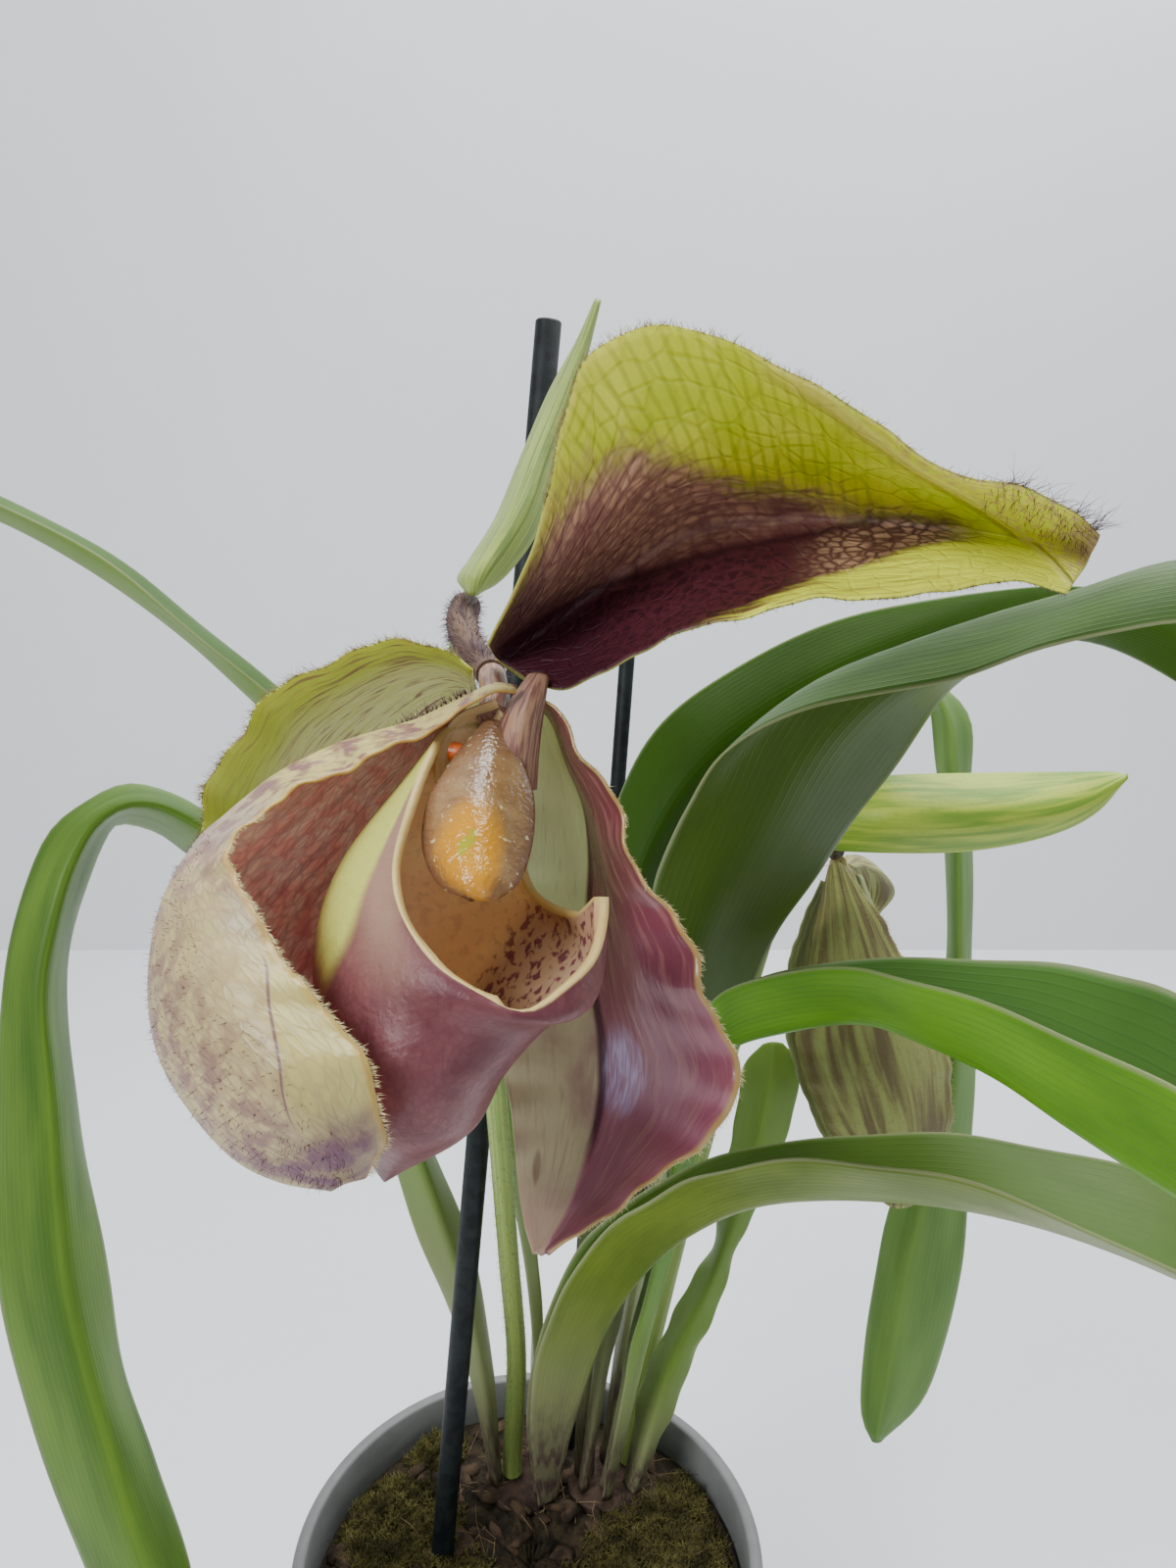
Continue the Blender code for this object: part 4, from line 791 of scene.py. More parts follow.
@dataclass(frozen=True)
class DorsalFinish:
    """Hooded sepal: yellow-green, a brown net below it and a dark maroon trough under the net."""

    name: str = "dorsal_sepal_skin"
    green: Colour = tone(0.80, 0.86, 0.12)
    bright: Colour = tone(0.90, 0.93, 0.30)
    vein: Colour = tone(0.60, 0.66, 0.10)
    tan: Colour = tone(0.84, 0.67, 0.56)
    net: Colour = tone(0.46, 0.24, 0.27)
    maroon: Colour = tone(0.22, 0.07, 0.12)
    ember: Colour = tone(0.40, 0.17, 0.22)
    pale: Colour = tone(0.86, 0.84, 0.42)
    back: Colour = tone(0.66, 0.70, 0.34)

    def make(self) -> bpy.types.Material:
        """Build the finish."""
        weave = Weave(self.name, 0.46, 0.4)
        across, along = weave.surface()
        flat = weave.spread(across, along, 14.0, 26.0)
        stir = weave.stir(flat, 0.9, 0.16)
        fine_stir = weave.stir(weave.spread(across, along, 40.0, 14.0), 1.0, 0.10)
        cloud = weave.noise(flat, 0.3, 4.0, 0.6)
        colour = weave.mix(weave.ramp(cloud, 0.35, 0.65), self.green, self.bright)
        ribs = weave.lines(along + stir * 0.06, 52.0, 0.1)
        upper = weave.ramp(along, 0.74, 0.60)
        colour = weave.mix(ribs * upper * 0.40, colour, self.vein)
        cells = weave.net(weave.spread(across, along, 15.0, 24.0), 1.0, 0.12)
        colour = weave.mix(cells * 0.22, colour, self.vein)
        net_line = weave.curve(along, (
            (0.0, 0.0), (0.15, 0.02), (0.23, 0.07), (0.28, 0.12), (0.34, 0.20), (0.41, 0.32), (0.48, 0.43),
            (0.57, 0.46), (0.69, 0.50), (0.78, 0.48), (0.90, 0.52), (1.0, 0.60)))
        above = weave.past(across, net_line, 0.085, stir + fine_stir)
        zone = above * weave.ramp(along, 0.90, 0.70, 0.0, 1.0)
        high = weave.curve(along, ((0.0, 0.22), (0.10, 0.38), (0.24, 0.55), (0.36, 0.64), (0.46, 0.64),
                                   (0.59, 0.59), (0.69, 0.52), (0.79, 0.49), (1.0, 0.5)))
        deep = weave.past(across, high - 0.06, 0.12, stir)
        tan = weave.mix(deep, self.tan, self.ember)
        mesh = weave.net(weave.spread(across, along, 30.0, 40.0), 1.0, 0.26)
        streak = weave.noise(weave.spread(across, along, 46.0, 7.0), 1.0, 5.0, 0.4)
        streaks = weave.ramp(streak, 0.44, 0.66)
        brown = weave.mix(mesh * 0.50, tan, self.net)
        brown = weave.mix(streaks * 0.60, brown, self.net)
        rows = weave.lines(across + stir * 0.10, 30.0, 0.25)
        brown = weave.mix(rows * 0.45, brown, self.net)
        colour = weave.mix(zone, colour, brown)
        low = weave.curve(along, ((0.0, 1.0), (0.33, 1.0), (0.45, 0.96), (0.52, 0.91), (0.61, 0.84),
                                  (0.69, 0.76), (0.78, 0.68), (0.90, 0.60), (1.0, 0.55)))
        trough = weave.past(across, high, 0.05, stir * 0.6)
        lip = weave.past(across, low, 0.035, fine_stir * 0.7) * weave.ramp(along, 0.34, 0.46)
        dark = weave.mix(mesh * 0.5, self.maroon, self.ember)
        island = weave.ramp(along, 0.50, 0.66) * weave.ramp(cloud, 0.35, 0.6, 0.4, 1.0)
        dark = weave.mix(island * 0.75, dark, weave.mix(mesh * 0.9, self.tan, self.maroon))
        inside = trough * weave.ramp(along, 0.88, 0.74)
        colour = weave.mix(inside, colour, dark)
        edge_line = abs(across - high)
        edge_line = weave.ramp(edge_line, 0.030, 0.0) * (weave.ramp(along, 0.84, 0.6) * 0.75)
        colour = weave.mix(edge_line, colour, self.maroon)
        lip_skin = weave.mix(streaks * weave.ramp(along, 0.85, 0.5, 0.25, 0.9), self.bright, self.net)
        colour = weave.mix(lip, colour, lip_skin)
        root = weave.ramp(along + across * -0.06, 0.22, 0.05)
        colour = weave.mix(root * 0.8, colour, self.maroon)
        rim = weave.curve(along, ((0.0, 0.0), (0.50, 0.0), (0.60, 0.02), (0.68, 0.09), (0.78, 0.22),
                                  (0.90, 0.48), (0.98, 0.79), (1.0, 0.88)))
        near_rim = weave.ramp(abs(across - rim), 0.075, 0.015)
        band = near_rim * weave.ramp(along, 0.50, 0.62)
        flap = weave.past(-across, -rim, 0.03) * weave.ramp(along, 0.62, 0.74)
        flap_skin = weave.mix(weave.ramp(weave.noise(flat, 3.0, 4.0), 0.42, 0.68), self.bright, self.tan)
        colour = weave.mix(flap * 0.8, colour, flap_skin)
        colour = weave.mix(band * 0.85, colour, self.pale)
        tip = weave.ramp(along, 0.93, 1.0) * weave.ramp(across, 0.75, 0.3)
        colour = weave.mix(tip * 0.75, colour, self.net)
        low_edge = weave.ramp(across, 0.03, 0.0) * weave.ramp(along, 0.5, 0.3)
        colour = weave.mix(low_edge * 0.5, colour, self.pale)
        behind = weave.mix(cells * 0.4, self.back, self.vein)
        colour = weave.mix(weave.face(), colour, behind)
        ridge = cells * -0.7 + weave.noise(flat, 5.0) * 0.5
        ridge = ridge + band * 5.0
        weave.bump(ridge, 0.00025, 0.7)
        soften(weave, 0.16, (1.0, 0.7, 0.2), 0.0016)
        return weave.done(colour)


@dataclass(frozen=True)
class SynsepalFinish:
    """Lower sepal: yellow-green rim, pale middle and purple flecks near the hub."""

    name: str = "synsepal_skin"
    rim: Colour = (0.520, 0.620, 0.080)
    pale: Colour = (0.680, 0.700, 0.360)
    fleck: Colour = (0.230, 0.060, 0.110)

    def make(self) -> bpy.types.Material:
        """Build the finish."""
        weave = Weave(self.name, 0.5, 0.35)
        across, along = weave.surface()
        flat = weave.spread(across, along, 16.0, 26.0)
        cloud = weave.noise(flat, 0.5, 4.0, 0.5)
        shifted = across + (cloud - 0.5) * 0.12
        colour = weave.mix(weave.ramp(shifted, 0.10, 0.34), self.rim, self.pale)
        net = weave.net(weave.spread(across, along, 26.0, 9.0), 1.0, 0.12)
        colour = weave.mix(net * 0.28, colour, self.rim)
        dots = weave.ramp(weave.noise(weave.spread(across, along, 60.0, 12.0), 1.0, 4.0, 0.7), 0.52, 0.66)
        near = weave.ramp(along, 0.12, 0.60, 0.85, 0.05)
        colour = weave.mix(dots * near, colour, self.fleck)
        weave.bump(net + weave.noise(flat, 6.0), 0.00018, 0.6)
        soften(weave, 0.2, (1.0, 0.8, 0.3), 0.002)
        return weave.done(colour)


@dataclass(frozen=True)
class LeftPetalFinish:
    """Cupped petal: cream and mauve outside, rosy and net-veined inside."""

    name: str = "petal_left_skin"
    cream: Colour = tone(0.78, 0.72, 0.50)
    white: Colour = tone(0.79, 0.75, 0.66)
    mauve: Colour = tone(0.52, 0.35, 0.35)
    yellow: Colour = tone(0.80, 0.76, 0.44)
    gold: Colour = tone(0.80, 0.64, 0.30)
    purple: Colour = tone(0.40, 0.20, 0.34)
    rose: Colour = tone(1.00, 0.72, 0.66)
    deep: Colour = tone(0.66, 0.32, 0.35)
    light: Colour = tone(1.00, 0.86, 0.78)

    def make(self) -> bpy.types.Material:
        """Build the finish."""
        weave = Weave(self.name, 0.36, 0.5)
        across, along = weave.surface()
        where = weave.place()
        cloud = weave.noise(where, 60.0, 4.0, 0.5)
        blots = weave.noise(where, 420.0, 5.0, 0.3)
        stir = weave.stir(where, 160.0, 0.12)
        outer = weave.mix(weave.ramp(cloud, 0.4, 0.6), self.cream, self.white)
        amount = weave.curve(across, ((0.0, 0.15), (0.12, 0.25), (0.22, 0.55), (0.34, 0.90), (0.5, 1.0),
                                      (1.0, 0.9)))
        head = weave.ramp(along, 0.70, 0.50)
        amount = weave.math(Sum.MAXIMUM, amount, head * 0.75)
        patch = weave.ramp(blots, 0.40, 0.62) * amount
        outer = weave.mix(patch * 0.85, outer, self.mauve)
        wash = weave.ramp(cloud, 0.36, 0.66) * (amount * 0.60)
        outer = weave.mix(wash, outer, self.mauve)
        rib_line = weave.curve(along, ((0.0, 0.0), (0.62, 0.0), (0.70, 0.045), (0.77, 0.11), (0.83, 0.17),
                                       (0.87, 0.21), (1.0, 0.30)))
        side = weave.past(-across, -rib_line, 0.02) * weave.ramp(along, 0.64, 0.74)
        outer = weave.mix(side * 0.65, outer, self.yellow)
        far = abs(across - rib_line)
        rib = weave.ramp(far, 0.0045, 0.0015) * (weave.ramp(along, 0.66, 0.72)
                                                 * weave.ramp(along, 0.92, 0.87))
        outer = weave.mix(rib * 0.75, outer, self.purple)
        strip = weave.ramp(along, 0.46, 0.34)
        strip_skin = weave.mix(weave.ramp(blots, 0.44, 0.64), self.yellow, self.mauve)
        outer = weave.mix(strip * 0.85, outer, strip_skin)
        end = weave.ramp(along + stir, 0.865, 0.95)
        tips = end * weave.ramp(abs(across - 0.24), 0.34, 0.16)
        outer = weave.mix(tips * weave.ramp(blots, 0.30, 0.58, 0.5, 1.0) * 0.95, outer, self.purple)
        net = weave.net(weave.spread(across, along, 46.0, 40.0), 1.0, 0.22)
        outer = weave.mix(net * 0.35 * (amount + 0.15), outer, self.mauve)
        inner = weave.mix(weave.ramp(blots, 0.38, 0.62), self.rose, self.light)
        ribs = weave.ramp(weave.noise(weave.spread(across, along, 30.0, 5.0), 1.0, 3.0, 0.3), 0.44, 0.62)
        inner = weave.mix(ribs * 0.40, inner, self.deep)
        inner = weave.mix(net * 0.35, inner, self.deep)
        band = weave.ramp(along + stir, 0.26, 0.08)
        inner = weave.mix(band * 0.9, inner, self.deep)
        low = weave.ramp(across, 0.70, 0.90) * 0.35
        inner = weave.mix(low, inner, self.deep)
        margin = weave.ramp(across, 0.026, 0.008)
        outer = weave.mix(margin * 0.6, outer, self.gold)
        inner = weave.mix(margin, inner, self.gold)
        colour = weave.mix(weave.face(), outer, inner)
        weave.bump(net * 0.5 + blots, 0.00018, 0.5)
        soften(weave, 0.2, (1.0, 0.6, 0.4), 0.0016)
        return weave.done(colour, weave.ramp(blots, 0.3, 0.7, 0.44, 0.30))


@dataclass(frozen=True)
class RightPetalFinish:
    """Two-toned glossy petal: maroon to purple-pink on one half, pale beige-green on the other."""

    name: str = "petal_right_skin"
    maroon: Colour = tone(0.44, 0.22, 0.26)
    pink: Colour = tone(0.60, 0.34, 0.41)
    rosy: Colour = tone(0.68, 0.47, 0.46)
    beige: Colour = tone(0.80, 0.77, 0.60)
    tan: Colour = tone(0.64, 0.50, 0.45)
    fresh: Colour = tone(0.82, 0.87, 0.62)
    rib: Colour = tone(0.30, 0.06, 0.16)
    margin: Colour = tone(0.70, 0.58, 0.32)
    sheen: Colour = tone(0.80, 0.74, 0.92)
    spot: Colour = tone(0.46, 0.30, 0.16)

    def make(self) -> bpy.types.Material:
        """Build the finish."""
        weave = Weave(self.name, 0.24, 0.6)
        across, along = weave.surface()
        where = weave.place()
        cloud = weave.noise(where, 80.0, 4.0, 0.5)
        stir = weave.stir(where, 120.0, 0.16)
        streak = weave.noise(weave.spread(across, along, 26.0, 9.0), 1.0, 5.0, 0.5)
        fine = weave.noise(weave.spread(across, along, 70.0, 20.0), 1.0, 4.0, 0.3)
        down = along + stir
        right = weave.mix(weave.ramp(down, 0.25, 0.72), self.maroon, self.pink)
        right = weave.mix(weave.ramp(streak, 0.46, 0.66) * 0.50, right, self.rosy)
        right = weave.mix(weave.ramp(fine, 0.5, 0.7) * 0.30, right, self.maroon)
        left = weave.mix(weave.ramp(cloud, 0.40, 0.70), self.beige, self.tan)
        left = weave.mix(weave.ramp(streak, 0.52, 0.70) * 0.45, left, self.tan)
        left = weave.mix(weave.ramp(down, 0.62, 0.40), left, self.fresh)
        left = weave.mix(weave.ramp(fine, 0.54, 0.72) * 0.30, left, self.tan)
        left = weave.mix(weave.ramp(down, 0.80, 0.97) * 0.55, left, self.rosy)
        spot_x = ((across - 0.86) * 0.9) ** 2.0
        spot_y = (along - 0.86) ** 2.0
        left = weave.mix(weave.ramp(spot_x + spot_y, 0.0012, 0.0002) * 0.6, left, self.spot)
        rib_line = weave.curve(along, ((0.0, 0.45), (0.14, 0.44), (0.31, 0.555), (0.45, 0.60),
                                       (0.56, 0.60), (0.77, 0.55), (0.90, 0.50), (1.0, 0.42)))
        colour = weave.mix(weave.past(across, rib_line, 0.012), right, left)
        far = abs(across - rib_line)
        rib = weave.ramp(far, 0.040, 0.008) * weave.ramp(along, 0.86, 0.76)
        colour = weave.mix(rib, colour, self.rib)
        fold = weave.ramp(far, 0.025, 0.006) * weave.ramp(along, 0.80, 0.88)
        colour = weave.mix(fold * 0.8, colour, self.rosy)
        aside = (across - 0.47) ** 2.0
        away = ((along - 0.66) * 1.5) ** 2.0
        near = weave.ramp(aside + away, 0.020, 0.001)
        light = near * (weave.past(-across, -rib_line, 0.03) * weave.ramp(fine, 0.40, 0.62, 0.35, 1.0))
        colour = weave.mix(light * 0.75, colour, self.sheen)
        margin = weave.ramp(across + stir * 0.12, 0.024, 0.008)
        colour = weave.mix(margin * 0.9, colour, self.margin)
        weave.bump(streak + fine * 0.8, 0.00022, 0.6)
        soften(weave, 0.12, (1.0, 0.5, 0.5), 0.0014)
        gloss = weave.ramp(weave.past(across, rib_line, 0.03), 0.0, 1.0, 0.22, 0.44)
        return weave.done(colour, gloss)


@dataclass(frozen=True)
class PouchFinish:
    """Slipper: dusty maroon with soft mottles, a pale rim, a green crescent and a spotted inside."""

    name: str
    body: Colour = tone(0.38, 0.18, 0.22)
    dusty: Colour = tone(0.51, 0.32, 0.33)
    beige: Colour = tone(0.66, 0.54, 0.46)
    crescent: Colour = tone(0.80, 0.83, 0.42)
    rim: Colour = tone(0.82, 0.72, 0.46)
    inside: Colour = tone(0.98, 0.90, 0.70)
    amber: Colour = tone(0.94, 0.80, 0.62)
    spot: Colour = tone(0.44, 0.22, 0.30)
    glow: float = 0.2

    def make(self) -> bpy.types.Material:
        """Build the finish."""
        weave = Weave(self.name, 0.38, 0.3)
        around, down = weave.surface()
        where = weave.place()
        cloud = weave.noise(where, 55.0, 4.0, 0.6)
        blots = weave.noise(where, 260.0, 4.0, 0.5)
        grain = weave.noise(where, 900.0, 3.0, 0.4)
        stir = weave.stir(where, 130.0, 0.08)
        outside = weave.mix(weave.ramp(cloud, 0.36, 0.64), self.body, self.dusty)
        outside = weave.mix(weave.ramp(blots, 0.48, 0.64) * 0.55, outside, self.dusty)
        outside = weave.mix(weave.ramp(blots, 0.46, 0.36) * 0.45, outside, self.body)
        veins = weave.net(weave.spread(around, down, 70.0, 34.0), 1.0, 0.20)
        outside = weave.mix(veins * 0.30, outside, self.body)
        left = weave.past(around, 0.305, 0.05, stir) * weave.ramp(around, 0.74, 0.62)
        high = weave.ramp(down + stir, 0.34, 0.10)
        outside = weave.mix(high * left * 0.85, outside, self.beige)
        bound = weave.curve(down, ((0.0, 0.525), (0.02, 0.47), (0.07, 0.425), (0.15, 0.40), (0.25, 0.385),
                                   (0.35, 0.39), (0.50, 0.42), (1.0, 0.45)))
        flank = weave.past(around, bound, 0.012) * weave.ramp(around, 0.72, 0.62)
        flank = flank * weave.ramp(down + stir, 0.48, 0.34)
        outside = weave.mix(flank * 0.92, outside, self.crescent)
        edge = weave.ramp(down, 0.016, 0.006)
        outside = weave.mix(edge, outside, self.rim)
        dots = weave.ramp(weave.noise(where, 800.0, 3.0, 0.4), 0.52, 0.64)
        right = weave.ramp(abs(around - 0.93), 0.10, 0.05)
        inner = weave.mix(weave.ramp(cloud, 0.4, 0.65), self.inside, self.amber)
        inner = weave.mix(dots * weave.math(Sum.MAXIMUM, right * 0.9, 0.15), inner, self.spot)
        inner = weave.mix(right * 0.65, inner, self.dusty)
        inner = weave.mix(right * dots * 0.9, inner, self.spot)
        inner = weave.mix(edge, inner, self.rim)
        colour = weave.mix(weave.face(), inner, outside)
        weave.bump(blots * 1.5 + grain, 0.00025, 0.5)
        soften(weave, self.glow, (1.0, 0.5, 0.3), 0.0016)
        return weave.done(colour, weave.ramp(cloud, 0.3, 0.7, 0.46, 0.34))


@dataclass(frozen=True)
class TissueFinish:
    """Plain living tissue with streaks along it and fine grain."""

    name: str
    first: Colour
    second: Colour
    streaks: float = 20.0
    roughness: float = 0.5
    grain: float = 900.0
    depth: float = 0.00012
    glow: float = 0.1

    def make(self) -> bpy.types.Material:
        """Build the finish."""
        weave = Weave(self.name, self.roughness, 0.35)
        across, along = weave.surface()
        streak = weave.noise(weave.spread(across, along, self.streaks, 3.0), 1.0, 5.0, 0.4)
        colour = weave.mix(weave.ramp(streak, 0.36, 0.64), self.first, self.second)
        grain = weave.noise(weave.place(), self.grain, 3.0)
        colour = weave.mix(weave.ramp(grain, 0.5, 0.8) * 0.35, colour, self.first)
        weave.bump(streak + grain, self.depth, 0.7)
        soften(weave, self.glow, (0.8, 0.8, 0.3), 0.0015)
        return weave.done(colour)


@dataclass(frozen=True)
class ShieldFinish:
    """Staminode: glossy translucent amber with a yellow boss, a green spot and painted glints."""

    name: str = "staminode_skin"
    amber: Colour = tone(0.54, 0.40, 0.26)
    shade: Colour = tone(0.44, 0.31, 0.24)
    yellow: Colour = tone(0.86, 0.60, 0.00)
    green: Colour = tone(0.56, 0.70, 0.08)
    pale: Colour = tone(0.62, 0.49, 0.33)
    painted_glint: Colour = tone(0.96, 0.90, 0.72)

    def make(self) -> bpy.types.Material:
        """Build the finish."""
        weave = Weave(self.name, 0.16, 0.7)
        across, along = weave.surface()
        where = weave.place()
        grit = weave.noise(where, 1500.0, 2.0)
        cloud = weave.noise(where, 260.0, 4.0, 0.5)
        colour = weave.mix(weave.ramp(cloud, 0.35, 0.65), self.amber, self.pale)
        rim = weave.ramp(abs(across - 0.5), 0.34, 0.5)
        colour = weave.mix(rim * 0.8, colour, self.shade)
        colour = weave.mix(weave.ramp(along, 0.42, 0.05) * 0.75, colour, self.shade)
        aside = (across - 0.42) ** 2.0
        away = (along - 0.80) ** 2.0
        far = aside * 1.1 + away * 2.0
        far = far + weave.stir(where, 300.0, 0.05)
        colour = weave.mix(weave.ramp(far, 0.16, 0.015) * 0.9, colour, self.yellow)
        colour = weave.mix(weave.ramp(far, 0.007, 0.001) * 0.6, colour, self.green)
        # Pale specks: painted glints on the glossy shield
        painted_glints = weave.ramp(weave.noise(where, 1100.0, 1.0), 0.68, 0.74)
        colour = weave.mix(painted_glints * 0.6, colour, self.painted_glint)
        weave.bump(grit, 0.00025, 0.8)
        soften(weave, 0.35, (1.0, 0.7, 0.2), 0.002)
        return weave.done(colour)


@dataclass(frozen=True)
class GroundFinish:
    """Rough matter on object coordinates: plastic, bark, moss or floor."""

    name: str
    first: Colour
    second: Colour
    scale: float = 60.0
    roughness: float = 0.8
    depth: float = 0.0004
    specular: float = 0.3

    def make(self) -> bpy.types.Material:
        """Build the finish."""
        weave = Weave(self.name, self.roughness, self.specular)
        where = weave.place()
        cloud = weave.noise(where, self.scale, 6.0, 0.5)
        fine = weave.noise(where, self.scale * 9.0, 4.0)
        colour = weave.mix(weave.ramp(cloud, 0.34, 0.66), self.first, self.second)
        colour = weave.mix(weave.ramp(fine, 0.5, 0.75) * 0.35, colour, self.first)
        weave.bump(cloud + fine, self.depth, 0.6)
        return weave.done(colour)


@dataclass
class Blade:
    """Thin blade over rails: a leaf, a sepal, a petal or a bract."""

    name: str
    rails: tuple[Rail, ...]
    thickness: float = 0.0009
    rows: int = 96
    columns: int = 32
    creased: bool = False
    wave: float = 0.0
    waves: float = 7.0
    keel_round: float = 0.16
    least_width: float = 0.0

    def grid(self) -> np.ndarray:
        """Points of the blade's middle surface, rows along and columns across."""
        if self.creased:
            lines = [smooth_line(standing(rail), self.rows + 1) for rail in self.rails]
        else:
            lines = [smooth_line([seen(*point) for point in rail], self.rows + 1) for rail in self.rails]
        shares = np.linspace(0.0, 1.0, self.columns + 1)
        grid = np.zeros((self.rows + 1, self.columns + 1, 3))
        side = lines[-1][0] - lines[0][0]
        bent = np.sqrt(((shares - 0.5) * 2) ** 2 + self.keel_round ** 2)
        bent = (bent - bent.min()) / (bent.max() - bent.min())
        fold = (1 - bent)[:, None] * (1 - self.keel_round * KEEL_LOSS)
        for row in range(self.rows + 1):
            stations = [line[row] for line in lines]
            if self.creased and len(stations) == 3:
                left, keel, right = stations
                rise = keel - (left + right) / 2
                if self.least_width:
                    heading = lines[1][min(row + 1, self.rows)] - lines[1][max(row - 1, 0)]
                    side = self.opening(np.cross(heading, rise), side)
                    taper = min(1.0, (self.rows - row) / TAPER_ROWS)
                    lack = max(0.0, self.least_width * taper - np.dot(right - left, side))
                    left, right = left - side * lack / 2, right + side * lack / 2
                grid[row] = left + (right - left) * shares[:, None] + fold * rise
            else:
                grid[row] = smooth_line(stations, self.columns + 1)
        if self.wave:
            ends = np.sin(np.linspace(0.0, math.pi, self.rows + 1)) ** 0.5
            slow = np.sin(np.linspace(0.0, self.waves * 2 * math.pi, self.rows + 1))
            quick = np.sin(np.linspace(0.7, self.waves * 4.7 * math.pi, self.rows + 1))
            ripple = slow * ends + 0.6 * quick * ends
            margin = np.abs(shares - 0.5) ** 3 * 8
            grid = grid + grid_normals(grid) * (ripple[:, None] * margin[None, :] * self.wave)[..., None]
        return grid

    @staticmethod
    def opening(across: np.ndarray, before: np.ndarray) -> np.ndarray:
        """Unit direction from the left to the right margin, on the same side as the one before."""
        across = across / np.linalg.norm(across)
        return across if np.dot(across, before) >= 0 else -across

    def build(self) -> bpy.types.Object:
        """Closed blade with its UV map and its mark of the top face."""
        grid = self.grid()
        rows, columns = self.rows, self.columns
        edge_share = np.abs(np.linspace(-1.0, 1.0, columns + 1)) ** 6
        half = (self.thickness / 2) * (1 - 0.65 * edge_share)[None, :, None]
        offset = grid_normals(grid) * half
        vertices = np.concatenate(((grid + offset).reshape(-1, 3), (grid - offset).reshape(-1, 3)))
        lower = (rows + 1) * (columns + 1)
        numbers = np.arange(lower).reshape(rows + 1, columns + 1)
        faces = grid_faces(rows, columns)
        faces += [tuple(index + lower for index in reversed(face)) for face in faces]
        edge = numbers[:-1, 0].tolist() + numbers[-1, :-1].tolist()
        edge += numbers[:0:-1, -1].tolist() + numbers[0, :0:-1].tolist()
        for here, there in zip(edge, edge[1:] + edge[:1]):
            faces.append((there, here, here + lower, there + lower))
        thing = link_mesh(self.name, vertices, faces)
        across, along = np.meshgrid(np.linspace(0, 1, columns + 1), np.linspace(0, 1, rows + 1))
        mark_surface(thing, np.tile(across.ravel(), 2), np.tile(along.ravel(), 2), lower)
        return thing

    def margin(self, edge: Edge, start: float, end: float, count: int, seed: int) -> Hairs:
        """Places and outward directions along one margin.

        Args:
            edge: Which margin.
            start: Share of the length where it begins.
            end: Share of the length where it ends.
            count: How many places.
            seed: Seed of the random draw.

        Returns:
            Roots and directions.
        """
        grid = self.grid()
        draw = np.random.default_rng(seed)
        rows = draw.uniform(start, end, count) * self.rows
        line, inner = (grid[:, column] for column in edge.value)
        low = np.clip(rows.astype(int), 0, self.rows - 1)
        share = (rows - low)[:, None]
        roots = line[low] * (1 - share) + line[low + 1] * share
        outward = unit(line[low] - inner[low])
        along = unit(line[low + 1] - line[low])
        return roots, unit(outward + along * 0.25 + draw.normal(0.0, 0.35, (count, 3)))

    def skin(self, zone: tuple[float, float, float, float], count: int, seed: int, face: Face) -> Hairs:
        """Places and directions of hairs over one face.

        Args:
            zone: Low and high share across, then along.
            count: How many places.
            seed: Seed of the random draw.
            face: Which face they stand on.

        Returns:
            Roots and directions.
        """
        grid = self.grid()
        draw = np.random.default_rng(seed)
        columns = (draw.uniform(zone[0], zone[1], count) * self.columns).astype(int)
        rows = (draw.uniform(zone[2], zone[3], count) * self.rows).astype(int)
        facing = grid_normals(grid)[rows, columns] * face.value
        roots = grid[rows, columns] + facing * self.thickness * 0.4
        return roots, unit(facing + draw.normal(0.0, 0.4, (count, 3)))


def mark_surface(thing: bpy.types.Object, across: np.ndarray, along: np.ndarray, lower: int) -> None:
    """Write the UV map and the mark of the top face.

    Args:
        thing: The piece.
        across: Share across for each vertex.
        along: Share along for each vertex.
        lower: How many vertices lie on the top face.
    """
    mesh = thing.data
    layer = mesh.uv_layers.new(name="surface")
    corners = np.zeros(len(mesh.loops), dtype=np.int32)
    mesh.loops.foreach_get("vertex_index", corners)
    pairs = np.stack((across[corners], along[corners]), axis=1)
    layer.data.foreach_set("uv", pairs.ravel().astype(np.float32))
    tops = (np.arange(len(mesh.vertices)) < lower).astype(np.float32)
    mark = mesh.attributes.new("top", "FLOAT", "POINT")
    mark.data.foreach_set("value", tops)


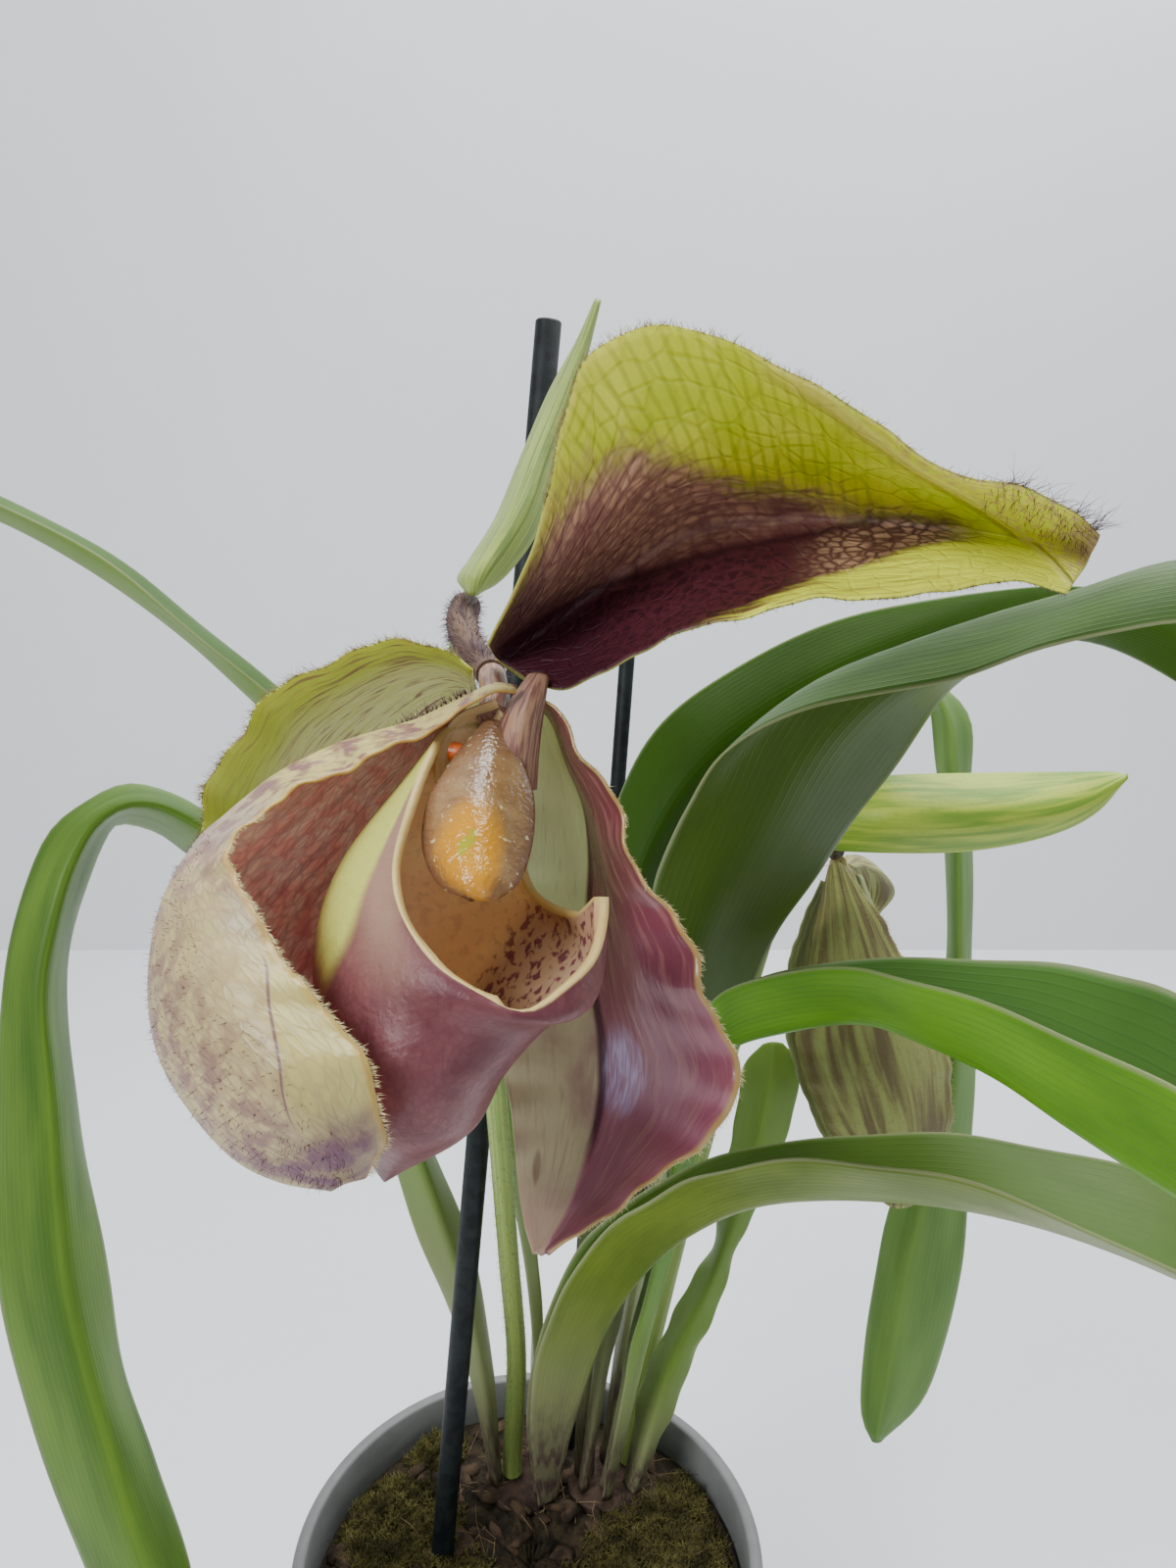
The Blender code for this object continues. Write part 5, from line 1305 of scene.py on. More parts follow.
def make_hairs(name: str, hairs: Hairs, length: float, radius: float, seed: int,
               droop: float = 0.25) -> bpy.types.Object:
    """Many short tapered hairs as one mesh.

    Args:
        name: Name of the piece.
        hairs: Where the hairs stand and where they point.
        length: Mean length in metres.
        radius: Radius at the root.
        seed: Seed of the random draw.
        droop: How far they bend down, as a share of the length.

    Returns:
        The new object.
    """
    roots, directions = hairs
    draw = np.random.default_rng(seed)
    count = len(roots)
    lengths = (length * draw.uniform(0.55, 1.25, count))[:, None]
    steep = np.abs(directions[:, 2:3]) > 0.9
    helper = np.where(steep, np.array([[1.0, 0.0, 0.0]]), np.array([[0.0, 0.0, 1.0]]))
    side = unit(np.cross(directions, helper))
    other = np.cross(directions, side)
    bend = draw.normal(0.0, 0.18, (count, 3)) + np.array([[0.0, 0.0, -droop]])
    middle = roots + directions * lengths * 0.55 + bend * lengths * 0.25
    starts = roots - directions * radius * 2
    vertices = np.zeros((count, 7, 3))
    for index in range(3):
        angle = 2 * math.pi * index / 3
        ring = math.cos(angle) * side + math.sin(angle) * other
        vertices[:, index] = starts + ring * radius
        vertices[:, 3 + index] = middle + ring * radius * 0.7
    vertices[:, 6] = roots + directions * lengths + bend * lengths
    pattern = ((0, 1, 4, 3), (1, 2, 5, 4), (2, 0, 3, 5), (3, 4, 6), (4, 5, 6), (5, 3, 6), (2, 1, 0))
    faces = [tuple(index + 7 * hair for index in face) for hair in range(count) for face in pattern]
    return link_mesh(name, vertices.reshape(-1, 3), faces)


def closed_line(points: list[np.ndarray], count: int) -> np.ndarray:
    """Evenly spaced points round a closed loop, from its first point.

    Args:
        points: Points that the loop passes.
        count: How many points to return.

    Returns:
        An array of count points, without the first one again at the end.
    """
    knots = [np.array(point) for point in points]
    wrapped = knots[-3:] + knots + knots[:4]
    line = smooth_line(wrapped, 40 * len(knots))
    half = len(line) // 2
    start = int(np.argmin([np.linalg.norm(point - knots[0]) for point in line[:half]]))
    end = half + int(np.argmin([np.linalg.norm(point - knots[0]) for point in line[half:]]))
    return smooth_line(list(line[start:end + 1:8]), count + 1)[:-1]


@dataclass
class Pouch:
    """Slipper of a flower: an open cup with a wall."""

    name: str
    rim: Rail
    rings: tuple[Rail, ...]
    toe: Point
    thickness: float = 0.0010
    rows: int = 56
    columns: int = 96

    def grid(self) -> np.ndarray:
        """Points of the outer skin, rows from the rim to the toe, columns round it."""
        loops = [closed_line([seen(*point) for point in self.rim], self.columns)]
        for ring in self.rings:
            right, front, left, back = (seen(*point) for point in ring)
            middle = (right + front + left + back) / 4
            angles = np.linspace(0, 2 * math.pi, self.columns, endpoint=False)[:, None]
            aside, ahead = (right - left) / 2, (front - back) / 2
            loops.append(middle + aside * np.cos(angles) + ahead * np.sin(angles))
        toe = seen(*self.toe)
        grid = np.zeros((self.rows + 1, self.columns, 3))
        for column in range(self.columns):
            route = [loop[column] for loop in loops]
            near = toe + (route[-1] - toe) * 0.25
            nearest = toe + (route[-1] - toe) * 0.02
            grid[:, column] = smooth_line(route + [near, nearest], self.rows + 1)
        return grid

    def build(self) -> bpy.types.Object:
        """Closed shell with its UV map and its mark of the outer face."""
        grid = self.grid()
        normals = grid_normals(grid, closed=True)
        half = self.rows // 2
        if (normals[half] * (grid[half] - grid[half].mean(axis=0))).sum() < 0:
            normals = -normals
        inner = grid - normals * self.thickness
        rows, columns = self.rows, self.columns
        lower = (rows + 1) * columns
        vertices = np.concatenate((grid.reshape(-1, 3), inner.reshape(-1, 3)))
        faces = grid_faces(rows, columns, closed=True)
        faces += [tuple(index + lower for index in reversed(face)) for face in faces]
        for column in range(columns):
            following = (column + 1) % columns
            faces.append((following, following + lower, column + lower, column))
        last = rows * columns
        faces.append(tuple(last + column for column in range(columns)))
        faces.append(tuple(last + lower + column for column in reversed(range(columns))))
        thing = link_mesh(self.name, vertices, faces)
        around, down = np.meshgrid(np.arange(columns) / columns, np.linspace(0, 1, rows + 1))
        mark_surface(thing, np.tile(around.ravel(), 2), np.tile(down.ravel(), 2), lower)
        shell = bmesh.new()
        shell.from_mesh(thing.data)
        bmesh.ops.recalc_face_normals(shell, faces=shell.faces)
        if shell.calc_volume(signed=True) < 0:
            bmesh.ops.reverse_faces(shell, faces=shell.faces)
        shell.to_mesh(thing.data)
        shell.free()
        thing.data.shade_smooth()
        return thing


def make_rod(name: str, points: np.ndarray, radii: np.ndarray, sides: int = 20) -> bpy.types.Object:
    """Closed round rod of given radii along a line, with its UV map.

    Args:
        name: Name of the piece.
        points: Points of the line.
        radii: Radius at each point.
        sides: Sides of the section.

    Returns:
        The new object.
    """
    along = unit(np.gradient(points, axis=0))
    side = np.cross(along[0], (0.0, 1.0, 0.0))
    rings = []
    for point, direction, radius in zip(points, along, radii):
        side = side - direction * np.dot(side, direction)
        side /= np.linalg.norm(side)
        other = np.cross(direction, side)
        angles = np.linspace(0, 2 * math.pi, sides, endpoint=False)[:, None]
        rings.append(point + radius * (np.cos(angles) * side + np.sin(angles) * other))
    vertices = np.concatenate(rings)
    faces = [(one, four, three, two) for one, two, three, four in grid_faces(len(points) - 1, sides, True)]
    faces.append(tuple(reversed(range(sides))))
    faces.append(tuple((len(points) - 1) * sides + index for index in range(sides)))
    thing = link_mesh(name, vertices, faces)
    around, down = np.meshgrid(np.arange(sides) / sides, np.linspace(0, 1, len(points)))
    mark_surface(thing, around.ravel(), down.ravel(), len(vertices))
    thing.data.set_sharp_from_angle(angle=math.radians(60))
    return thing


@dataclass
class Stem:
    """Round stem along a picked route."""

    name: str
    route: Rail
    start_radius: float
    end_radius: float
    count: int = 60
    stands: bool = False

    def line(self) -> np.ndarray:
        """Smooth centre line."""
        points = [seen(*point) for point in self.route]
        if self.stands:
            points = standing(self.route)
            points.insert(1, points[0] + np.array((0.0, 0.0, 2 * self.start_radius)))
        return smooth_line(points, self.count)

    def build(self) -> bpy.types.Object:
        """The stem as a closed rod."""
        line = self.line()
        return make_rod(self.name, line, np.linspace(self.start_radius, self.end_radius, self.count))

    def fuzz(self, count: int, seed: int) -> Hairs:
        """Roots and directions of hairs all round the stem.

        Args:
            count: How many hairs.
            seed: Seed of the random draw.

        Returns:
            Roots and directions.
        """
        line = self.line()
        draw = np.random.default_rng(seed)
        rows = draw.integers(1, len(line) - 1, count)
        along = unit(line[rows + 1] - line[rows - 1])
        outward = draw.normal(0.0, 1.0, (count, 3))
        outward = unit(outward - along * (outward * along).sum(axis=1, keepdims=True))
        radii = np.interp(rows, (0, len(line) - 1), (self.start_radius, self.end_radius))[:, None]
        slide = along * draw.uniform(-0.5, 0.5, (count, 1)) * np.linalg.norm(line[1] - line[0])
        return line[rows] + outward * radii + slide, outward


@dataclass
class MainFlower:
    """The large nodding flower at the front."""

    petal_thickness: float = 0.0009
    hair_radius: float = 0.000036
    hair: Colour = (0.070, 0.020, 0.040)
    pale_hair: Colour = (0.620, 0.560, 0.300)
    brown_hair: Colour = (0.300, 0.230, 0.080)
    blades: dict[str, Blade] = field(default_factory=dict)

    def build(self) -> None:
        """Make the sepals, petals, slipper, shield and all their hairs."""
        self.make_blades()
        self.make_slipper()
        self.make_stems()
        self.make_hair()

    def make_blades(self) -> None:
        """Sepals, petals, shield and bract."""
        bract = TissueFinish("bract_main_skin", (0.200, 0.290, 0.090), (0.420, 0.520, 0.120), 34.0, 0.45)
        for node, rails, (rows, columns), wave, waves, finish in (
            ("dorsal_sepal", DORSAL_SEPAL, (120, 56), 0.00018, 5, DorsalFinish()),
            ("synsepal", SYNSEPAL, (100, 44), 0.0005, 6, SynsepalFinish()),
            ("petal_left", PETAL_LEFT, (130, 56), 0.0003, 8, LeftPetalFinish()),
            ("petal_right", PETAL_RIGHT, (120, 48), 0.0005, 6, RightPetalFinish()),
            ("staminode", STAMINODE, (48, 28), 0.0, 0, ShieldFinish()),
            ("bract_main", BRACT_MAIN, (70, 20), 0.0, 0, bract),
        ):
            blade = Blade(node + "_fine", rails, self.petal_thickness, rows, columns, wave=wave,
                          waves=waves)
            self.blades[node] = blade
            dress(blade.build(), finish.make(), (node,))

    def make_slipper(self) -> None:
        """The slipper."""
        pouch = Pouch("pouch_fine", POUCH_RIM, POUCH_RINGS, POUCH_TOE)
        dress(pouch.build(), PouchFinish("pouch_skin").make(), ("pouch",))

    def make_stems(self) -> None:
        """Column, throat, ovary and scape, with the bristles on them."""
        column = Stem("column_main_fine", COLUMN_MAIN, COLUMN_RADIUS, COLUMN_RADIUS, 24)
        skin = TissueFinish("column_skin", tone(0.46, 0.30, 0.29), tone(0.66, 0.52, 0.42), 22.0, 0.4)
        dress(column.build(), skin.make(), ("column_main",))
        hub = Blade("column_hood_fine", COLUMN_HOOD, 0.0012, 40, 20)
        dress(hub.build(), skin.make())
        throat = Blade("throat_hood_fine", THROAT_HOOD, 0.0007, 36, 20)
        cream = TissueFinish("throat_skin", tone(0.86, 0.74, 0.52), tone(0.90, 0.82, 0.62), 10.0, 0.3,
                             glow=0.25)
        dress(throat.build(), cream.make())
        anther = Stem("anther_fine", ANTHER, 0.0014, 0.0011, 12)
        orange = TissueFinish("anther_skin", tone(0.80, 0.40, 0.16), tone(0.62, 0.28, 0.14), 8.0, 0.3)
        dress(anther.build(), orange.make())
        dark = plain_hair("hair_dark", self.hair)
        for blade, zone, seed in ((throat, (0.1, 0.95, 0.05, 0.55), 41), (hub, (0.55, 1.0, 0.2, 0.8), 42)):
            self.bristle(blade, blade.skin(zone, 150, seed, Face.UNDER), 0.0013, dark)
        ovary = Stem("ovary_main_fine", OVARY_MAIN, OVARY_RADIUS, OVARY_RADIUS * 0.8, 30)
        skin = TissueFinish("ovary_skin", (0.060, 0.030, 0.030), (0.150, 0.090, 0.060), 14.0, 0.7)
        dress(ovary.build(), skin.make(), ("ovary_main",))
        scape = Stem("scape_main_fine", SCAPE_MAIN, SCAPE_RADIUS, SCAPE_RADIUS * 0.9, 90, stands=True)
        green = TissueFinish("scape_skin", (0.230, 0.340, 0.080), (0.340, 0.440, 0.120), 16.0)
        dress(scape.build(), green.make(), ("scape_main",))
        for stem, count, length, slot in ((ovary, 900, 0.0013, "ovary"), (scape, 2600, 0.0009, "scape")):
            self.bristle(stem, stem.fuzz(count, len(stem.name)), length, dark)

    def bristle(self, form: "Blade | Stem", hairs: Hairs, length: float, finish: bpy.types.Material) -> None:
        """Set bristles on a form.

        Args:
            form: What they stand on.
            hairs: Their roots and directions.
            length: Mean length in metres.
            finish: Their material.
        """
        name = form.name.replace("fine", "hairs")
        dress(make_hairs(name, hairs, length, self.hair_radius, 5), finish)

    def make_hair(self) -> None:
        """Hairs on the margins and at the tips."""
        dark = plain_hair("hair_purple", self.hair)
        pale = plain_hair("hair_pale", self.pale_hair)
        brown = plain_hair("hair_brown", self.brown_hair)
        dorsal, lower = self.blades["dorsal_sepal"], self.blades["synsepal"]
        left, right = self.blades["petal_left"], self.blades["petal_right"]
        for name, blade, hairs, length, finish in (
            ("dorsal_margin", dorsal, dorsal.margin(Edge.FIRST, 0.18, 0.86, 620, 11), 0.0014, brown),
            ("dorsal_tip", dorsal, dorsal.margin(Edge.FIRST, 0.84, 1.0, 130, 12), 0.0038, dark),
            ("dorsal_low", dorsal, dorsal.margin(Edge.LAST, 0.3, 1.0, 260, 13), 0.0008, dark),
            ("dorsal_flap", dorsal, dorsal.skin((0.0, 0.35, 0.84, 1.0), 160, 14, Face.UNDER),
             0.0014, dark),
            ("synsepal_margin", lower, lower.margin(Edge.FIRST, 0.02, 1.0, 1300, 15), 0.0016, brown),
            ("petal_left_margin", left, left.margin(Edge.FIRST, 0.42, 1.0, 620, 16), 0.0008, pale),
            ("petal_left_row", left, left.skin((0.44, 0.54, 0.06, 0.46), 620, 17, Face.UNDER),
             0.0015, dark),
            ("petal_left_back", left, left.skin((0.16, 0.56, 0.46, 1.0), 900, 18, Face.UNDER),
             0.0007, dark),
            ("petal_right_margin", right, right.margin(Edge.FIRST, 0.04, 0.95, 520, 19), 0.0008, pale),
            ("petal_right_base", right, right.skin((0.55, 0.98, 0.05, 0.16), 120, 20, Face.TOP),
             0.0016, dark),
        ):
            made = make_hairs(name + "_hairs", hairs, length, self.hair_radius, 7, 0.1)
            dress(made, finish)


def plain_hair(name: str, colour: Colour) -> bpy.types.Material:
    """Finish of hairs, made once for each name.

    Args:
        name: Name of the finish.
        colour: Its darker colour.

    Returns:
        The material.
    """
    found = bpy.data.materials.get(name)
    if found:
        return found
    lighter = tuple(min(1.0, share * 1.6 + 0.01) for share in colour)
    return GroundFinish(name, colour, lighter, 400.0, 0.55, 0.00005).make()


@dataclass
class SecondFlower:
    """The smaller flower that hangs behind, with its back to the front."""

    petal_thickness: float = 0.0009
    hair_radius: float = 0.00004
    hair: Colour = (0.280, 0.240, 0.120)

    def build(self) -> None:
        """Make its sepals, petals, slipper, stems and hairs."""
        back = self.make_blades()
        pouch = Pouch("pouch_second_fine", POUCH_RIM_SECOND, POUCH_RINGS_SECOND, POUCH_TOE_SECOND,
                      rows=40, columns=60)
        skin = PouchFinish("pouch_second_skin", glow=0.1)
        dress(pouch.build(), skin.make(), ("pouch_second",))
        self.make_stems()
        fuzz = plain_hair("hair_second", self.hair)
        for name, hairs, length, seed in (
            ("second_sepal_hairs", back.skin((0.0, 1.0, 0.0, 1.0), 1400, 31, Face.TOP), 0.0010, 8),
            ("second_margin_hairs", back.margin(Edge.LAST, 0.0, 1.0, 400, 32), 0.0012, 9),
        ):
            dress(make_hairs(name, hairs, length, self.hair_radius, seed, 0.1), fuzz)

    def make_blades(self) -> Blade:
        """Bract, sepals and petals.

        Returns:
            The blade of the back sepal, which carries the hairs.
        """
        bract = TissueFinish("bract_second_skin", (0.200, 0.360, 0.035), (0.450, 0.560, 0.060),
                             10.0).make()
        sepal = TissueFinish("second_sepal_skin", (0.160, 0.120, 0.050), (0.330, 0.360, 0.110), 14.0, 0.55,
                             depth=0.0002).make()
        petal = TissueFinish("second_petal_skin", (0.150, 0.170, 0.060), (0.330, 0.370, 0.150), 9.0,
                             0.55).make()
        blades = {}
        for node, rails, (rows, columns), wave, skin, slot in (
            ("bract_second", BRACT_SECOND, (80, 28), 0.0, bract, "bract"),
            ("sepal_back_second", SEPAL_BACK_SECOND, (80, 32), 0.0004, sepal, "second_sepal"),
            ("dorsal_second", DORSAL_SECOND, (60, 24), 0.0, sepal, "second_sepal"),
            ("petal_left_second", PETAL_LEFT_SECOND, (70, 24), 0.0003, petal, "second_petal"),
            ("petal_right_second", PETAL_RIGHT_SECOND, (70, 24), 0.0003, petal, "second_petal"),
        ):
            blades[node] = Blade(node + "_fine", rails, self.petal_thickness, rows, columns, wave=wave)
            dress(blades[node].build(), skin, (node,))
        return blades["sepal_back_second"]

    def make_stems(self) -> None:
        """Ovary, column and scape."""
        for node, route, radius, share, count, finish, slot, stands in (
            ("ovary_second", OVARY_SECOND, OVARY_RADIUS * 0.8, 0.875, 20,
             ((0.030, 0.020, 0.016), (0.110, 0.080, 0.040), 10.0, 0.7), "ovary", False),
            ("column_second", COLUMN_SECOND, COLUMN_RADIUS, 1.0, 20,
             ((0.380, 0.330, 0.130), (0.240, 0.160, 0.060), 8.0, 0.5), "column", False),
            ("scape_second", SCAPE_SECOND, SCAPE_RADIUS, 0.8, 80,
             ((0.200, 0.300, 0.070), (0.300, 0.400, 0.110), 16.0, 0.5), "scape", True),
        ):
            stem = Stem(node + "_fine", route, radius, radius * share, count, stands)
            dress(stem.build(), TissueFinish(node + "_skin", *finish).make(), (node,))


@dataclass
class Foliage:
    """All strap leaves and the growths' bases."""

    thickness: float = 0.0011
    rows: int = 130
    columns: int = 24

    def build(self) -> None:
        """Make each leaf and the two bases."""
        for node, rails in LEAF_RAILS.items():
            blade = Blade(node + "_fine", rails, self.thickness, self.rows, self.columns, creased=True,
                          wave=0.0007, waves=4, least_width=LEAF_LEAST_WIDTHS.get(node, 0.0))
            # Each leaf's colours carry painted light as well as its own tint
            finish = LeafFinish(node + "_skin", *LEAF_TINTS_AND_PAINTED_LIGHT[node], **LEAF_STAINS.get(node, {}))
            dress(blade.build(), finish.make(), (node,))
        bark = GroundFinish("crown_skin", (0.026, 0.014, 0.012), (0.085, 0.052, 0.036), 220.0, 0.8, 0.0006)
        skin = bark.make()
        for node in ("crown_left", "crown_right"):
            solid = bpy.data.objects[node]
            solid.data.materials.clear()
            solid.data.materials.append(skin)


@dataclass
class PotAndMix:
    """Grey pot, its potting mix with bark, moss and fibres, and the two stakes."""

    height: float = 0.105
    rim_radius: float = 0.060
    base_radius: float = 0.043
    wall: float = 0.0016
    floor: float = 0.002
    band: float = 0.010
    step: float = 0.0018
    facets: int = 128
    mix_level: float = 0.093
    mix_crown: float = 0.004
    mix_reach: float = 0.0565
    mix_radius: float = 0.0553
    moss_reach: float = 0.0535
    chips: int = 260
    grains: int = 9
    fibres: int = 160
    moss_strands: int = 17000
    stake_depth: float = 0.0296

    def build(self) -> None:
        """Make the pot and all that stands or lies in it."""
        self.make_pot()
        self.make_mix()
        self.make_chips()
        self.make_moss()
        self.make_stakes()

    def make_pot(self) -> None:
        """Turned pot with a soft rim band."""
        below = self.rim_radius - self.step
        foot = self.height - self.band
        slope = (below - self.base_radius) / foot
        soft = 0.0006
        profile = (
            (0.0, 0.0), (self.base_radius - soft, 0.0), (self.base_radius, soft),
            (below - 0.0001, foot - soft), (self.rim_radius - soft, foot), (self.rim_radius, foot + soft),
            (self.rim_radius, self.height - soft), (self.rim_radius - soft, self.height),
            (below - self.wall + soft, self.height), (below - self.wall, self.height - soft),
            (below - self.wall, foot), (self.base_radius - self.wall + slope * self.floor, self.floor),
            (0.0, self.floor),
        )
        bpy.ops.object.select_all(action="DESELECT")
        mesh = bpy.data.meshes.new("pot_fine")
        corners = [(radius, 0.0, height) for radius, height in profile]
        mesh.from_pydata(corners, [(index, index + 1) for index in range(len(corners) - 1)], [])
        thing = bpy.data.objects.new("pot_fine", mesh)
        bpy.context.scene.collection.objects.link(thing)
        bpy.context.view_layer.objects.active = thing
        thing.select_set(True)
        bpy.ops.object.mode_set(mode="EDIT")
        bpy.ops.mesh.select_all(action="SELECT")
        bpy.ops.mesh.spin(steps=self.facets, angle=2 * math.pi, center=(0, 0, 0), axis=(0, 0, 1))
        bpy.ops.mesh.select_all(action="SELECT")
        bpy.ops.mesh.remove_doubles(threshold=0.00002)
        bpy.ops.mesh.normals_make_consistent(inside=False)
        bpy.ops.object.mode_set(mode="OBJECT")
        thing.select_set(False)
        thing.data.shade_smooth()
        thing.data.set_sharp_from_angle(angle=math.radians(50))
        grey = GroundFinish("pot_plastic", (0.175, 0.182, 0.182), (0.200, 0.208, 0.208), 140.0, 0.5,
                            0.00005, 0.4)
        dress(thing, grey.make(), ("pot",))

    def mix_height(self, radius: np.ndarray, angle: np.ndarray) -> np.ndarray:
        """Height of the mix.

        Args:
            radius: Distance from the middle, in metres.
            angle: Angle round the middle.

        Returns:
            Height above the floor for each place.
        """
        share = radius / self.mix_reach
        lumps = np.sin(5 * angle + 7 * share) * np.cos(11 * share - 3 * angle)
        fine = np.sin(23 * angle + 31 * share) * np.sin(41 * share - 13 * angle)
        crown = self.mix_level + self.mix_crown * (1 - share ** 2)
        return crown + (0.0016 * lumps + 0.0007 * fine) * (1 - share ** 4)

    def make_mix(self) -> None:
        """Lumpy top of the mix over a plain body."""
        rings, facets = 60, 180
        shares = np.linspace(0.0, 1.0, rings + 1)[1:]
        angles = np.linspace(0, 2 * math.pi, facets, endpoint=False)
        draw = np.random.default_rng(3)
        vertices = [(0.0, 0.0, float(self.mix_height(np.array(0.0), np.array(0.0))))]
        for share in shares:
            radius = np.full(facets, share * self.mix_radius)
            heights = self.mix_height(radius, angles) + draw.normal(0, 0.00035, facets) * (share < 0.99)
            vertices += list(zip(radius * np.cos(angles), radius * np.sin(angles), heights))
        bottom = self.floor + 0.0006
        foot = self.base_radius - self.wall - 0.0004
        vertices += [(foot * math.cos(angle), foot * math.sin(angle), bottom) for angle in angles]
        faces = [(0, 1 + facet, 1 + (facet + 1) % facets) for facet in range(facets)]
        faces += grid_faces(rings, facets, True, 1)
        last = 1 + rings * facets
        faces.append(tuple(last + facet for facet in reversed(range(facets))))
        thing = link_mesh("potting_mix_fine", np.array(vertices), faces)
        soil = GroundFinish("mix_matter", (0.014, 0.010, 0.006), (0.055, 0.040, 0.022), 180.0, 0.95,
                            0.0012)
        dress(thing, soil.make(), ("potting_mix",))

    def scatter(self, count: int, seed: int, inner: float, outer: float) -> tuple[np.ndarray, np.ndarray]:
        """Random places on the mix, clear of the growths.

        Args:
            count: How many places to draw.
            seed: Seed of the random draw.
            inner: Least radius.
            outer: Largest radius.

        Returns:
            Radii and angles.
        """
        draw = np.random.default_rng(seed)
        radius = np.sqrt(draw.uniform(inner ** 2, outer ** 2, count))
        angle = draw.uniform(0, 2 * math.pi, count)
        return radius, angle

    def make_chips(self) -> None:
        """Bark chips and a few white grains lying on the mix."""
        for name, count, size, finish in (
            ("bark_chips", self.chips, 0.0030,
             GroundFinish("bark_chip", (0.024, 0.015, 0.010), (0.090, 0.056, 0.032), 260.0, 0.9, 0.0006)),
            ("white_grains", self.grains, 0.0011,
             GroundFinish("white_grain", (0.620, 0.620, 0.600), (0.780, 0.780, 0.760), 400.0, 0.85,
                          0.0003)),
        ):
            radius, angle = self.scatter(count, len(name), 0.004, 0.051)
            draw = np.random.default_rng(count)
            bpy.ops.object.select_all(action="DESELECT")
            bpy.ops.mesh.primitive_ico_sphere_add(subdivisions=2, radius=1.0, location=(0, 0, 0))
            seed_chip = bpy.context.active_object
            shape = np.array([tuple(vertex.co) for vertex in seed_chip.data.vertices])
            chip_faces = [tuple(face.vertices) for face in seed_chip.data.polygons]
            bpy.data.objects.remove(seed_chip, do_unlink=True)
            vertices, faces = [], []
            for index in range(count):
                stretch = size * draw.uniform((0.7, 0.45, 0.25), (1.6, 1.0, 0.5))
                rough = shape * (1 + draw.normal(0, 0.10, (len(shape), 1))) * stretch
                spin = Matrix.Rotation(draw.uniform(0, 2 * math.pi), 3, "Z")
                lean = Matrix.Rotation(draw.normal(0, 0.35), 3, "X")
                far, turn = radius[index], angle[index]
                level = float(self.mix_height(far, turn)) + stretch[2] * 0.4
                spot = np.array((far * math.cos(turn), far * math.sin(turn), level))
                faces += [tuple(corner + len(vertices) for corner in face) for face in chip_faces]
                vertices += list(rough @ np.array(spin @ lean).T + spot)
            dress(link_mesh(name, np.array(vertices), faces), finish.make())

    def make_moss(self) -> None:
        """Moss cushions of real strands, with loose fibres."""
        cushions = (
            (-0.036, 0.014, 0.018, 0.0075, 0.22), (-0.024, -0.010, 0.019, 0.0065, 0.17),
            (0.034, 0.004, 0.020, 0.0075, 0.22), (0.016, -0.016, 0.018, 0.0060, 0.14),
            (-0.029, 0.040, 0.009, 0.0065, 0.07), (0.044, 0.024, 0.010, 0.0055, 0.06),
            (-0.002, -0.038, 0.018, 0.0050, 0.12),
        )
        draw = np.random.default_rng(21)
        roots, directions = [], []
        for x, y, reach, rise, share in cushions:
            count = int(self.moss_strands * share)
            radius = reach * np.sqrt(draw.uniform(0, 1, count))
            angle = draw.uniform(0, 2 * math.pi, count)
            px, py = x + radius * np.cos(angle), y + radius * np.sin(angle)
            keep = np.hypot(px, py) < self.moss_reach
            px, py, radius = px[keep], py[keep], radius[keep]
            dome = rise * (1 - (radius / reach) ** 2) * (0.7 + 0.3 * np.sin(px * 900) * np.cos(py * 800))
            pz = self.mix_height(np.hypot(px, py), np.arctan2(py, px)) + dome * 0.75
            roots.append(np.stack((px, py, pz), axis=1))
            lean = draw.normal(0, 0.75, (len(px), 3))
            lean[:, 2] = np.abs(lean[:, 2]) + 0.5
            directions.append(unit(lean))
        strands = (np.concatenate(roots), np.concatenate(directions))
        moss = GroundFinish("moss_matter", (0.045, 0.040, 0.010), (0.175, 0.160, 0.045), 150.0, 0.9,
                            0.0002)
        dress(make_hairs("moss", strands, 0.0026, 0.00016, 22, 0.2), moss.make())
        self.make_cushion_shade_beds(cushions)
        radius, angle = self.scatter(self.fibres, 44, 0.006, 0.050)
        height = self.mix_height(radius, angle) + 0.0012
        roots = np.stack((radius * np.cos(angle), radius * np.sin(angle), height), axis=1)
        lean = draw.normal(0, 1.0, (self.fibres, 3))
        lean[:, 2] = np.abs(lean[:, 2]) * 0.25
        straw = GroundFinish("fibre_matter", (0.180, 0.110, 0.050), (0.330, 0.240, 0.130), 200.0, 0.8,
                             0.0001)
        fibres = make_hairs("mix_fibres", (roots, unit(lean)), 0.011, 0.00014, 23, 0.12)
        dress(fibres, straw.make())

